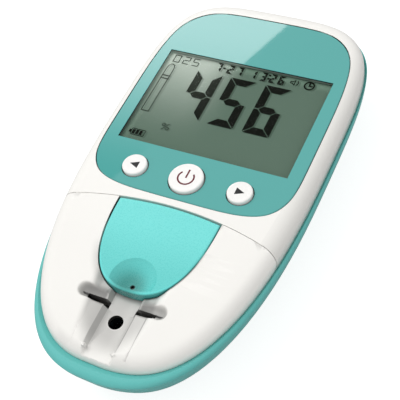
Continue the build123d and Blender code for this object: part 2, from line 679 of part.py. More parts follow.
def main_board():
    board = block(-BOARD_HALF_WIDTH, BOARD_HALF_WIDTH, BOARD_NEAR_Y, BOARD_FAR_Y, BOARD_UNDER_Z, BOARD_Z)
    board += block(-BOARD_TONGUE_HALF, BOARD_TONGUE_HALF, BOARD_TONGUE_Y, BOARD_NEAR_Y,
                   BOARD_UNDER_Z, BOARD_Z)
    board += block(-BOARD_TAIL_HALF, BOARD_TAIL_HALF, BOARD_FAR_Y, BOARD_TAIL_Y, BOARD_UNDER_Z, BOARD_Z)
    for x, y in both_sides(BOARD_SCREW_PLACES):
        board -= rod(x, y, 0, HIGH_Z, SMALL_SCREW_RADIUS + FIT_GAP)
    return board


def board_chips():
    chips = []
    for x, y, width, length in CHIPS:
        chips.append(block(x - width / 2, x + width / 2, y - length / 2, y + length / 2,
                           BOARD_UNDER_Z - CHIP_HEIGHT, BOARD_UNDER_Z))
    return chips


def key_switches():
    switches = []
    for x, radius in BUTTONS.values():
        half = SWITCH_SIZE / 2
        body = block(x - half, x + half, BUTTON_Y - half, BUTTON_Y + half, BOARD_Z, BOARD_Z + SWITCH_HEIGHT)
        top = BOARD_Z + SWITCH_HEIGHT + PLUNGER_HEIGHT
        switches.append(body + rod(x, BUTTON_Y, BOARD_Z, top, STEM_RADIUS))
    return switches


def button(x, radius):
    """Round cap with a flange that holds it under the case and a stem over its switch."""
    flange_top = CASE_UNDER_Z - THIN_GAP
    flange_low = flange_top - FLANGE_THICKNESS
    cap = rod(x, BUTTON_Y, flange_low, TOP_Z + BUTTON_PROUD, radius)
    cap = fillet(cap.edges().sort_by(Axis.Z)[-1], BUTTON_EDGE)
    cap += rod(x, BUTTON_Y, flange_low, flange_top, radius + BUTTON_FLANGE)
    cap += rod(x, BUTTON_Y, flange_low - STEM_LENGTH, flange_low, STEM_RADIUS)
    return cap


def buzzer():
    return rod(0, BUZZER_Y, BOARD_UNDER_Z - BUZZER_HEIGHT, BOARD_UNDER_Z, BUZZER_RADIUS)


def screw(x, y, seat, length, head_radius, head_height, shank_radius):
    """Screw with its head below the seat, driven upwards."""
    body = rod(x, y, seat - head_height, seat, head_radius) + rod(x, y, seat, seat + length, shank_radius)
    slot = head_radius / 5
    low = seat - head_height
    drive = block(x - slot, x + slot, y - 3 * slot, y + 3 * slot, low, low + head_height / 2)
    drive += block(x - 3 * slot, x + 3 * slot, y - slot, y + slot, low, low + head_height / 2)
    return body - drive


def case_screws():
    return [screw(x, y, SCREW_SEAT_Z, SCREW_LENGTH, SCREW_HEAD_RADIUS, SCREW_HEAD_HEIGHT, SCREW_SHANK_RADIUS)
            for x, y in both_sides(SCREW_PLACES)]


def small_screw(x, y, seat, length):
    return screw(x, y, seat, length, SMALL_HEAD_RADIUS, SMALL_HEAD_HEIGHT, SMALL_SCREW_RADIUS)


def board_screws():
    return [small_screw(x, y, BOARD_UNDER_Z, BOARD_SCREW_LENGTH) for x, y in both_sides(BOARD_SCREW_PLACES)]


def optic_screw_places():
    return both_sides(((OPTIC_SCREW_X, SENSOR_Y + OPTIC_BLOCK_FAR / 2),))


def optic_screws():
    return [small_screw(x, y, OPTIC_BOARD_Z, OPTIC_SCREW_LENGTH) for x, y in optic_screw_places()]


def optic_plate(low, high):
    return block(-OPTIC_BLOCK_HALF_WIDTH, OPTIC_BLOCK_HALF_WIDTH, SENSOR_Y - OPTIC_BLOCK_NEAR,
                 SENSOR_Y + OPTIC_BLOCK_FAR, low, high)


def optical_block():
    body = optic_plate(OPTIC_BLOCK_Z, CHANNEL_UNDER_Z)
    body -= rod(0, SENSOR_Y, 0, HIGH_Z, OPTIC_BORE_RADIUS)
    ledge_top = CHANNEL_UNDER_Z - OPTIC_WINDOW_SET - OPTIC_WINDOW_THICKNESS
    ring = rod(0, SENSOR_Y, ledge_top - OPTIC_WINDOW_THICKNESS, ledge_top, OPTIC_BORE_RADIUS + THIN_GAP)
    ring -= rod(0, SENSOR_Y, 0, HIGH_Z, SENSOR_RADIUS - FIT_GAP)
    body += ring
    for x, y in optic_screw_places():
        body -= rod(x, y, 0, OPTIC_BOARD_Z + OPTIC_SCREW_LENGTH + FIT_GAP, SMALL_SCREW_RADIUS + SCREW_FIT)
    for side in (-1, 1):
        body -= between(side * CHANNEL_HALF_WIDTH, side * SLOT_REACH, SLOT_Y - SLOT_WIDTH / 2,
                        SLOT_Y + SLOT_WIDTH / 2, CHANNEL_UNDER_Z - SLOT_WIDTH, HIGH_Z)
    return body


def optic_window():
    low = CHANNEL_UNDER_Z - OPTIC_WINDOW_SET - OPTIC_WINDOW_THICKNESS
    return rod(0, SENSOR_Y, low, low + OPTIC_WINDOW_THICKNESS, OPTIC_BORE_RADIUS - THIN_GAP)


def optical_board():
    board = optic_plate(OPTIC_BOARD_Z, OPTIC_BLOCK_Z)
    for x, y in optic_screw_places():
        board -= rod(x, y, 0, HIGH_Z, SMALL_SCREW_RADIUS + FIT_GAP)
    return board


def optic_emitters():
    """Two small lamps and the photodiode between them, on the board in the bore."""
    pieces = [optic_chip(SENSOR_Y, DIODE_SIZE)]
    for side in (-1, 1):
        pieces.append(optic_chip(SENSOR_Y + side * (DIODE_SIZE / 2 + LAMP_SIZE), LAMP_SIZE))
    return pieces


def optic_chip(y, size):
    return block(-size / 2, size / 2, y - size / 2, y + size / 2, OPTIC_BLOCK_Z, OPTIC_BLOCK_Z + size / 2)


def ribbon_cable():
    """Flat lead from the optical board up to the underside of the main board."""
    low = OPTIC_BOARD_Z - RIBBON_THICKNESS / 2
    high = BOARD_UNDER_Z - RIBBON_THICKNESS / 2
    block_y = SENSOR_Y + OPTIC_BLOCK_FAR
    path = FilletPolyline((block_y - RIBBON_LAP, low), (block_y + RIBBON_RUN, low),
                          (BOARD_TONGUE_Y - RIBBON_RUN, high), (BOARD_TONGUE_Y + RIBBON_LAP, high),
                          radius=RIBBON_BEND)
    face = Plane.YZ * trace(path, RIBBON_THICKNESS)
    return extrude(face, amount=RIBBON_WIDTH / 2, both=True)


def cell_place(index):
    """Middle x of a cell, and whether its nub points to the nose."""
    return (index - (CELL_COUNT - 1) / 2) * CELL_PITCH, index % 2 == 1


def batteries():
    cells = []
    for index in range(CELL_COUNT):
        x, nub_to_nose = cell_place(index)
        reach = CONTACT_THICKNESS + CELL_NUB_LENGTH + CELL_LENGTH / 2
        middle_y = BAY_Y + reach if nub_to_nose else BAY_FAR_Y - reach
        nub_y = middle_y + (-CELL_NUB_LENGTH if nub_to_nose else CELL_NUB_LENGTH)
        can = Pos(x, middle_y, CELL_AXIS_Z) * Rot(90, 0, 0) * Cylinder(CELL_DIAMETER / 2, CELL_LENGTH)
        nub = Pos(x, nub_y, CELL_AXIS_Z) * Rot(90, 0, 0) * Cylinder(CELL_NUB_RADIUS, CELL_LENGTH)
        cells.append(can + nub)
    return cells


def contact_plate(x, at_nose):
    """Flat contact against an end wall of the bay."""
    half = CONTACT_WIDTH / 2
    y = BAY_Y if at_nose else BAY_FAR_Y - CONTACT_THICKNESS
    return block(x - half, x + half, y, y + CONTACT_THICKNESS, CELL_AXIS_Z - half, BAY_ROOF_Z - THIN_GAP)


def plate_contacts():
    contacts = []
    for index in range(CELL_COUNT):
        x, nub_to_nose = cell_place(index)
        contacts.append(contact_plate(x, nub_to_nose))
    return contacts


def spring_contacts():
    """Flat contact with a bowed leaf that presses on the flat end of the cell."""
    contacts = []
    for index in range(CELL_COUNT):
        x, nub_to_nose = cell_place(index)
        at_nose = not nub_to_nose
        base = contact_plate(x, at_nose)
        wall_y = BAY_Y + CONTACT_THICKNESS / 2 if at_nose else BAY_FAR_Y - CONTACT_THICKNESS / 2
        reach = SPRING_SPACE - FIT_GAP if at_nose else FIT_GAP - SPRING_SPACE
        half = CONTACT_WIDTH / 2 - CONTACT_THICKNESS
        bow = ThreePointArc((x - half, wall_y), (x, wall_y + reach), (x + half, wall_y))
        leaf = extrude(trace(bow, CONTACT_THICKNESS), amount=CONTACT_WIDTH / 4, both=True)
        contacts.append(base + Pos(0, 0, CELL_AXIS_Z) * leaf)
    return contacts


def battery_door():
    half_width = DOOR_HALF_WIDTH - DOOR_GAP
    near = DOOR_Y + DOOR_GAP
    far = DOOR_FAR_Y - DOOR_GAP
    door = block(-half_width, half_width, near, far, UNDERSIDE_Z, DOOR_INNER_Z)
    tab_low = SHELL_FLOOR_Z + THIN_GAP
    tab_high = tab_low + DOOR_TAB_THICKNESS
    root_y = BAY_Y + 2 * CELL_GAP
    latch_y = BAY_FAR_Y - 2 * DOOR_GAP
    for x in (-CELL_PITCH / 2, CELL_PITCH / 2):
        left = x - DOOR_TAB_WIDTH / 2
        right = x + DOOR_TAB_WIDTH / 2
        door += block(left, right, near - DOOR_TAB_REACH, root_y, tab_low, tab_high)
        door += block(left, right, BAY_Y + DOOR_GAP, root_y, UNDERSIDE_Z, tab_high)
        door += block(left, right, latch_y - DOOR_TAB_THICKNESS, latch_y, UNDERSIDE_Z,
                      tab_high + DOOR_TAB_THICKNESS)
    for index in range(DOOR_GRIP_COUNT):
        y = far - (index + 2) * DOOR_GRIP_PITCH
        door -= Pos(0, y, UNDERSIDE_Z) * Rot(0, 90, 0) * Cylinder(DOOR_GRIP_DEPTH, DOOR_GRIP_LENGTH)
    return door


def rubber_feet():
    return [rod(x, y, 0, UNDERSIDE_Z + FOOT_SUNK, FOOT_RADIUS) for x, y in both_sides(FOOT_PLACES)]


def write_node(name, shape):
    """Write one sub-part; a list of solids goes into one file as separate solids."""
    pieces = shape if isinstance(shape, list) else [shape]
    solids = []
    for piece in pieces:
        solids.extend(piece.solids())
    export_step(Compound(solids), os.path.join("parts", name + ".step"))


def main():
    os.makedirs("parts", exist_ok=True)
    makers = (lower_shell, upper_case, front_housing, cover_flap, flap_pin, display_panel, display_window,
              lcd_cell, lcd_reflector, lcd_frame, lcd_connectors, main_board, board_chips, key_switches,
              buzzer, case_screws, board_screws, optic_screws, optical_block, optic_window, optical_board,
              optic_emitters, ribbon_cable, batteries, plate_contacts, spring_contacts, battery_door,
              rubber_feet)
    for make in makers:
        write_node(make.__name__, make())
    for name, (x, radius) in BUTTONS.items():
        write_node(name, button(x, radius))


main()
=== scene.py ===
"""Looks of the handheld blood test meter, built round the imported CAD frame.

Lengths are in metres, in the frame of the CAD part: X across the meter, Y from the nose to the
display end, Z up from the plane that the rubber feet stand on.
"""

from __future__ import annotations

import logging
import math
from dataclasses import dataclass
from enum import Enum
from functools import cache
from typing import ClassVar, Sequence

import bmesh
import bpy
from mathutils import Matrix, Vector


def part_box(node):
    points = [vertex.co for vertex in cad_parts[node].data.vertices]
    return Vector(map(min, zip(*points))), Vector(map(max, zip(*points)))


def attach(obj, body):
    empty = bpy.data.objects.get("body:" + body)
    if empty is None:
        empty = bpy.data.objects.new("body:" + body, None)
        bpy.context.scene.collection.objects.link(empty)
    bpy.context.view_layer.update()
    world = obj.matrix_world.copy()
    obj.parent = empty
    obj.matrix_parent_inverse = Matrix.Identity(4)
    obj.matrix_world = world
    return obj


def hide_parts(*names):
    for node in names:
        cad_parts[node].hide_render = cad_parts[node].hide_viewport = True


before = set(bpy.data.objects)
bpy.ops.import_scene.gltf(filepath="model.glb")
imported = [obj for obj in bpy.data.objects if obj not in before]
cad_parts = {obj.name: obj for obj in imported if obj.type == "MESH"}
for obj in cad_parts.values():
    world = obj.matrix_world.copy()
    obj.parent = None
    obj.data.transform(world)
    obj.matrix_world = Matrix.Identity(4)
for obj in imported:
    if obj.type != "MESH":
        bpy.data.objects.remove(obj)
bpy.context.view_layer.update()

LOG = logging.getLogger("meter")
MM = 0.001
# In front of Y = -CROWN_START the top falls by the square of the way, divided by CROWN_FALL.
TOP_Z = 25.1 * MM
CROWN_START = 16.45 * MM
CROWN_FALL = 800 * MM
KEY_ROW_Y = -6.24 * MM
KEY_SIDE_X = 16.55 * MM
Point = tuple[float, float]
Colour = tuple[float, float, float]
Paint = tuple[float, float, float, float]
Place = tuple[float, float, float]
Span = tuple[float, float]
Socket = bpy.types.NodeSocket
Piece = bpy.types.Object
Material = bpy.types.Material


def linear(colour: Colour) -> Paint:
    """Turn a screen colour into the linear one that shaders take.

    Args:
        colour: Red, green and blue as seen on screen, from 0 to 1.

    Returns:
        The linear colour with an alpha of 1.
    """
    parts = [c / 12.92 if c <= 0.04045 else ((c + 0.055) / 1.055) ** 2.4 for c in colour]
    return (parts[0], parts[1], parts[2], 1.0)


def grey(level: float) -> Paint:
    """Linear grey with an alpha of 1."""
    return (level, level, level, 1.0)


class Tree:
    """Builder for the nodes of one material or world."""

    def __init__(self, name: str, world: bool = False) -> None:
        """Start an empty material or world.

        Args:
            name: Its name.
            world: Make a world.
        """
        self.owner = (bpy.data.worlds if world else bpy.data.materials).new(name)
        self.owner.use_nodes = True
        self.nodes = self.owner.node_tree.nodes
        self.links = self.owner.node_tree.links
        self.nodes.clear()
        self.output = self.nodes.new("ShaderNodeOutputWorld" if world else "ShaderNodeOutputMaterial")
        self.split: bpy.types.Node | None = None

    def add(self, kind: str, settings: dict[str, object] | None = None, **inputs: object) -> bpy.types.Node:
        """Add a node.

        Args:
            kind: Type name of the node, after ShaderNode.
            settings: Attributes of the node itself.
            inputs: Values or sockets for its inputs, with _ for a space in their names.

        Returns:
            The new node.
        """
        node = self.nodes.new("ShaderNode" + kind)
        for key, value in (settings or {}).items():
            setattr(node, key, value)
        for key, value in inputs.items():
            self.feed(node, key.replace("_", " "), value)
        return node

    def feed(self, node: bpy.types.Node, key: str | int, value: object) -> None:
        """Set or link one input of a node.

        Args:
            node: The node.
            key: Name or place of the input.
            value: A socket to link, or a plain value.
        """
        if isinstance(value, Socket):
            self.links.new(value, node.inputs[key])
        else:
            node.inputs[key].default_value = value

    def place(self) -> Socket:
        """Object coordinates, in metres."""
        return self.add("TexCoord").outputs["Object"]

    def axes(self) -> tuple[Socket, ...]:
        """X, Y and Z of the shaded place, from one shared node.

        Returns:
            The three sockets.
        """
        if self.split is None:
            self.split = self.add("SeparateXYZ", Vector=self.place())
        return tuple(self.split.outputs)

    def math(self, operation: str, first: object, second: object = 0.0, clamp: bool = False) -> Socket:
        """One arithmetic step on numbers.

        Args:
            operation: Name of the operation.
            first: First number or socket.
            second: Second number or socket.
            clamp: Keep the result from 0 to 1.

        Returns:
            The result's socket.
        """
        node = self.add("Math", {"operation": operation, "use_clamp": clamp})
        self.feed(node, 0, first)
        self.feed(node, 1, second)
        return node.outputs[0]

    def noise(self, place: Socket, size: float, detail: float = 3.0) -> Socket:
        """Noise whose spots have about the given size.

        Args:
            place: Coordinates to read.
            size: Size of a spot, in metres.
            detail: Number of finer layers.

        Returns:
            The noise value's socket.
        """
        return self.add("TexNoise", Vector=place, Scale=1 / size, Detail=detail).outputs["Fac"]

    def blend(self, share: object, first: object, second: object, mode: str = "MIX") -> Socket:
        """Mix two colours.

        Args:
            share: How much of the second one.
            first: First colour or socket.
            second: Second colour or socket.
            mode: Name of the way to mix.

        Returns:
            The mixed colour's socket.
        """
        node = self.add("Mix", {"data_type": "RGBA", "blend_type": mode})
        self.feed(node, 0, share)
        self.feed(node, 6, first)
        self.feed(node, 7, second)
        return node.outputs[2]

    def ramp(self, value: object, low: float, high: float, out_low: float = 0.0,
             out_high: float = 1.0, smooth: bool = False) -> Socket:
        """Stretch a range of numbers onto another.

        Args:
            value: Number to read.
            low: Start of its range.
            high: End of its range.
            out_low: Result at the start.
            out_high: Result at the end.
            smooth: Ease in and out.

        Returns:
            The result's socket.
        """
        kind = "SMOOTHSTEP" if smooth else "LINEAR"
        node = self.add("MapRange", {"clamp": True, "interpolation_type": kind})
        for key, number in enumerate((value, low, high, out_low, out_high)):
            self.feed(node, key, number)
        return node.outputs[0]

    def bump(self, height: Socket, depth: float) -> Socket:
        """Normal of a bump, with the depth in metres that a height of 1 stands for."""
        return self.add("Bump", Height=height, Strength=1.0, Distance=depth).outputs[0]

    def finish(self, shader: Socket) -> Material | bpy.types.World:
        """Link the shader to the output and hand the material or world over."""
        self.links.new(shader, self.output.inputs["Surface"])
        return self.owner

    def surface(self, **inputs: object) -> Material:
        """Finish the material with one plain surface that has the given inputs."""
        return self.finish(self.add("BsdfPrincipled", **inputs).outputs[0])


class Axis(Enum):
    """Plain readings of a place on the meter, as lengths."""

    X = "x"
    Y = "y"
    Z = "z"
    SIDE = "side"
    DEPTH = "depth"

    def read(self, tree: Tree) -> Socket:
        """Coordinate of the shaded place, its distance from the middle, or its depth under the top.

        Args:
            tree: Material to build in.

        Returns:
            The reading.
        """
        x, y, z = tree.axes()
        if self is Axis.SIDE:
            return tree.math("ABSOLUTE", x)
        if self is Axis.DEPTH:
            back = tree.math("MINIMUM", tree.math("ADD", y, CROWN_START), 0.0)
            fall = tree.math("DIVIDE", tree.math("POWER", back, 2.0), CROWN_FALL)
            return tree.math("SUBTRACT", tree.math("SUBTRACT", TOP_Z, fall), z)
        return {Axis.X: x, Axis.Y: y, Axis.Z: z}[self]


X, Y, Z, SIDE, DEPTH = Axis


@dataclass(frozen=True)
class Spot:
    """Distance from an upright line."""

    x: float
    y: float

    def read(self, tree: Tree) -> Socket:
        """Distance of the shaded place.

        Args:
            tree: Material to build in.

        Returns:
            The reading.
        """
        x, y, _ = tree.axes()
        across = tree.math("POWER", tree.math("SUBTRACT", x, self.x), 2.0)
        along = tree.math("POWER", tree.math("SUBTRACT", y, self.y), 2.0)
        return tree.math("SQRT", tree.math("ADD", across, along))


@dataclass(frozen=True)
class Outline:
    """Plan outline of two superellipse halves that meet where a moulding is widest."""

    half_width: float
    widest_y: float
    nose_reach: float
    far_reach: float
    nose_power: float
    far_power: float

    def grown(self, amount: float) -> Outline:
        """Same outline with every reach longer by the amount."""
        return Outline(self.half_width + amount, self.widest_y, self.nose_reach + amount,
                       self.far_reach + amount, self.nose_power, self.far_power)

    def half(self, tree: Tree, across: Socket, along: Socket, reach: float, power: float) -> Socket:
        """Share of the way out to one half of the outline.

        Args:
            tree: Material to build in.
            across: Distance from the middle line.
            along: Distance from the widest place.
            reach: Reach of this half.
            power: Its power.

        Returns:
            The share, which is 1 on the outline.
        """
        first = tree.math("POWER", tree.math("DIVIDE", across, self.half_width), power)
        second = tree.math("POWER", tree.math("DIVIDE", along, reach), power)
        return tree.math("POWER", tree.math("ADD", first, second), 1 / power)

    def read(self, tree: Tree) -> Socket:
        """Distance outwards from the outline, less than 0 inside it.

        Args:
            tree: Material to build in.

        Returns:
            The reading.
        """
        x, y, _ = tree.axes()
        across = tree.math("ABSOLUTE", x)
        forward = tree.math("SUBTRACT", y, self.widest_y)
        along = tree.math("ABSOLUTE", forward)
        nose = self.half(tree, across, along, self.nose_reach, self.nose_power)
        far = self.half(tree, across, along, self.far_reach, self.far_power)
        is_far = tree.math("GREATER_THAN", forward, 0.0)
        share = tree.math("ADD", tree.math("MULTIPLY", far, is_far),
                          tree.math("MULTIPLY", nose, tree.math("SUBTRACT", 1.0, is_far)))
        away = tree.math("SQRT", tree.math("ADD", tree.math("POWER", across, 2.0),
                                           tree.math("POWER", along, 2.0)))
        return tree.math("MULTIPLY", away, tree.math("SUBTRACT", 1.0, tree.math("DIVIDE", 1.0, share)))


WHITE_OUTLINE = Outline(34.8 * MM, 17.05 * MM, 81.2 * MM, 48.8 * MM, 2.7, 4.0)
WHITE_FLANK = WHITE_OUTLINE.grown(-5.2 * MM)
PANEL_OUTLINE = Outline(31.2 * MM, 11.8 * MM, 25.3 * MM, 48.1 * MM, 4.6, 4.6)
FLAP_OUTLINE = Outline(15.6 * MM, -16.5 * MM, 27.8 * MM, 8.0 * MM, 2.5, 2.5)
SENSOR_HOLE = Spot(0.0, -52.07 * MM)
PORT = Spot(0.0, -41.6 * MM)
DIMPLE = Spot(-0.9 * MM, -41.6 * MM)


class Shade:
    """Painted shade or painted highlight: a tint that multiplies a colour within soft limits."""

    def __init__(self, tint: Colour | float, *limits: tuple[Axis | Spot | Outline, float, float]) -> None:
        """Note the tint and its limits.

        Args:
            tint: The tint, or one level for all three colours.
            limits: A ruler with its readings for none and for all of the shade, in millimetres.
        """
        self.tint = (*tint, 1.0) if isinstance(tint, tuple) else grey(tint)
        self.limits = limits

    def paint(self, tree: Tree, colour: Socket) -> Socket:
        """Lay the shade over a colour.

        Args:
            tree: Material to build in.
            colour: The colour under it.

        Returns:
            The shaded colour.
        """
        share: object = 1.0
        for ruler, none, full in self.limits:
            part = tree.ramp(ruler.read(tree), none * MM, full * MM, smooth=True)
            share = part if share == 1.0 else tree.math("MULTIPLY", share, part)
        return tree.blend(share, colour, self.tint, "MULTIPLY")


@dataclass(frozen=True)
class MouldedPlastic:
    """Injection moulded plastic: faint flow marks in its colour and a fine grain in its gloss."""

    name: str
    colour: Colour
    roughness: float = 0.3
    clearcoat: float = 0.0
    grain_size: float = 0.35 * MM
    grain_depth: float = 0.004 * MM
    flow_size: float = 22 * MM
    flow_share: float = 0.03
    shine: float = 0.5
    shades: tuple[Shade, ...] = ()

    def build(self) -> Material:
        """Make the material.

        Returns:
            The material.
        """
        tree = Tree(self.name)
        place = tree.place()
        flow = tree.noise(place, self.flow_size, 2.0)
        base = linear(self.colour)
        worn = tuple(c * (1 - self.flow_share) for c in base[:3]) + (1.0,)
        grain = tree.noise(place, self.grain_size)
        colour = tree.blend(flow, base, worn)
        # Painted shades and painted highlights, laid over the colour one by one.
        for shade in self.shades:
            colour = shade.paint(tree, colour)
        return tree.surface(Base_Color=colour, Specular_IOR_Level=self.shine,
                            Roughness=tree.ramp(grain, 0.3, 0.7, self.roughness * 0.9, self.roughness * 1.1),
                            Coat_Weight=self.clearcoat, Coat_Roughness=0.04,
                            Normal=tree.bump(grain, self.grain_depth))


@dataclass(frozen=True)
class DisplayFace:
    """Flat display colour under a painted pale reflection that grows towards the far left corner.

    Painted light makes it a little lighter beside the walls of the opening, which take light away there.
    """

    name: str
    colour: Colour
    painted_glare: Colour
    strength: float = 0.95
    near: float = 4.0 * MM
    far: float = 38.0 * MM
    power: float = 1.8
    right: float = 0.5 * MM
    left: float = -15.0 * MM
    lift: float = 0.6
    far_wall: Span = (36.7 * MM, 39.8 * MM)
    left_wall: Span = (-24.3 * MM, -26.8 * MM)

    def build(self) -> Material:
        """Make the material.

        Returns:
            The material.
        """
        tree = Tree(self.name)
        x, y, _ = tree.axes()
        rise = tree.math("POWER", tree.ramp(y, self.near, self.far), self.power)
        share = tree.math("MULTIPLY", tree.math("MULTIPLY", rise, self.strength),
                          tree.ramp(x, self.right, self.left, smooth=True))
        # Painted reflection, paler towards the far left corner.
        colour = tree.blend(share, linear(self.colour), linear(self.painted_glare))
        # Painted light beside the far and left walls of the opening.
        clear = tree.math("SUBTRACT", 1.0, share, clamp=True)
        by_far = tree.math("MULTIPLY", clear, tree.ramp(y, *self.far_wall, smooth=True))
        edge = tree.math("MAXIMUM", by_far, tree.ramp(x, *self.left_wall, smooth=True))
        colour = tree.blend(edge, colour, grey(1 + self.lift), "MULTIPLY")
        fine = tree.noise(tree.place(), 0.18 * MM)
        colour = tree.blend(tree.ramp(fine, 0.35, 0.65, 0.0, 0.04), colour, grey(0.0))
        return tree.surface(Base_Color=colour, Roughness=0.6, Specular_IOR_Level=0.05,
                            Normal=tree.bump(fine, 0.001 * MM))


@dataclass(frozen=True)
class ClearPane:
    """Clear plastic sheet: sharp to look through, with a little gloss, and open to lamps."""

    name: str
    tint: Colour = (0.99, 0.995, 0.99)
    roughness: float = 0.04
    bend: float = 1.04

    def build(self) -> Material:
        """Make the material.

        Returns:
            The material.
        """
        tree = Tree(self.name)
        rough = tree.ramp(tree.noise(tree.place(), 1.5 * MM), 0.3, 0.7, self.roughness, self.roughness * 1.15)
        gloss = tree.add("BsdfGlossy", Color=grey(1.0), Roughness=rough)
        clear = tree.add("BsdfTransparent", Color=linear(self.tint))
        lit = tree.math("SUBTRACT", 1.0, tree.add("LightPath").outputs["Is Shadow Ray"])
        facing = tree.add("Fresnel", IOR=self.bend)
        mix = tree.add("MixShader")
        tree.feed(mix, 0, tree.math("MULTIPLY", facing.outputs[0], lit))
        tree.feed(mix, 1, clear.outputs[0])
        tree.feed(mix, 2, gloss.outputs[0])
        return tree.finish(mix.outputs[0])


@dataclass(frozen=True)
class PrintInk:
    """Flat ink with a slightly uneven edge-to-edge tone."""

    name: str
    colour: Colour
    roughness: float = 0.5

    def build(self) -> Material:
        """Make the material.

        Returns:
            The material.
        """
        tree = Tree(self.name)
        spots = tree.noise(tree.place(), 0.5 * MM)
        base = linear(self.colour)
        pale = tuple(min(1.0, c * 1.25 + 0.002) for c in base[:3]) + (1.0,)
        return tree.surface(Base_Color=tree.blend(spots, base, pale), Roughness=self.roughness,
                            Specular_IOR_Level=0.3)


class Brush(Enum):
    """Direction of the fine lines on a metal."""

    ACROSS = (40.0, 1.0, 1.0)
    ALONG = (1.0, 40.0, 1.0)
    NONE = (1.0, 1.0, 1.0)


@dataclass(frozen=True)
class PlatedMetal:
    """Plated sheet or turned metal with fine lines."""

    name: str
    colour: Colour
    roughness: float = 0.3
    brush: Brush = Brush.NONE

    def build(self) -> Material:
        """Make the material.

        Returns:
            The material.
        """
        tree = Tree(self.name)
        stretch = tree.add("Mapping", Vector=tree.place(), Scale=self.brush.value)
        lines = tree.noise(stretch.outputs[0], 0.6 * MM, 4.0)
        base = linear(self.colour)
        dull = tuple(c * 0.8 for c in base[:3]) + (1.0,)
        return tree.surface(Base_Color=tree.blend(lines, base, dull), Metallic=1.0,
                            Roughness=tree.ramp(lines, 0.3, 0.7, self.roughness * 0.8, self.roughness * 1.2),
                            Normal=tree.bump(lines, 0.004 * MM))


@dataclass(frozen=True)
class Elastomer:
    """Matte rubber with a dusty bloom."""

    name: str
    colour: Colour

    def build(self) -> Material:
        """Make the material.

        Returns:
            The material.
        """
        tree = Tree(self.name)
        place = tree.place()
        bloom = tree.ramp(tree.noise(place, 3 * MM), 0.4, 0.8, 0.0, 0.25)
        grain = tree.noise(place, 0.15 * MM)
        return tree.surface(Base_Color=tree.blend(bloom, linear(self.colour), (0.2, 0.2, 0.19, 1.0)),
                            Roughness=0.8, Normal=tree.bump(grain, 0.02 * MM))


@dataclass(frozen=True)
class StripedElastomer:
    """Connector strip of thin conducting and insulating layers along X."""

    name: str
    pitch: float = 0.18 * MM

    def build(self) -> Material:
        """Make the material.

        Returns:
            The material.
        """
        tree = Tree(self.name)
        split = tree.add("SeparateXYZ", Vector=tree.place())
        wave = tree.math("SINE", tree.math("MULTIPLY", split.outputs[0], 2 * math.pi / self.pitch))
        share = tree.ramp(wave, -0.2, 0.2)
        return tree.surface(Roughness=0.7,
                            Base_Color=tree.blend(share, linear((0.85, 0.62, 0.6)), linear(grey(0.12)[:3])))


@dataclass(frozen=True)
class CircuitBoard:
    """Green solder mask over straight copper tracks."""

    name: str
    mask: Colour = (0.05, 0.33, 0.18)
    track: Colour = (0.10, 0.45, 0.24)
    pitch: float = 1.3 * MM

    def build(self) -> Material:
        """Make the material.

        Returns:
            The material.
        """
        tree = Tree(self.name)
        place = tree.place()
        cells = tree.add("TexBrick", {"offset": 0.5}, Vector=place, Scale=1 / (6 * self.pitch),
                         Mortar_Size=0.045, Brick_Width=1.7, Row_Height=0.32)
        tracks = tree.ramp(cells.outputs["Fac"], 0.4, 0.6)
        return tree.surface(Roughness=0.35,
                            Base_Color=tree.blend(tracks, linear(self.mask), linear(self.track)),
                            Normal=tree.bump(tracks, 0.03 * MM))


@dataclass(frozen=True)
class CellJacket:
    """Plain jacket of a dry cell: bare ends, and a band of another colour near one end."""

    name: str
    jacket: Colour = (0.16, 0.19, 0.23)
    band: Colour = (0.62, 0.44, 0.20)
    band_start: float = 38 * MM

    def build(self) -> Material:
        """Make the material.

        Returns:
            The material.
        """
        tree = Tree(self.name)
        place = tree.place()
        split = tree.add("SeparateXYZ", Vector=place)
        share = tree.ramp(split.outputs[1], self.band_start, self.band_start + 0.2 * MM)
        scuffs = tree.ramp(tree.noise(place, 2 * MM, 6.0), 0.55, 0.75, 0.0, 0.15)
        colour = tree.blend(share, linear(self.jacket), linear(self.band))
        return tree.surface(Roughness=0.25, Metallic=0.3, Coat_Weight=0.4,
                            Base_Color=tree.blend(scuffs, colour, grey(0.6)))


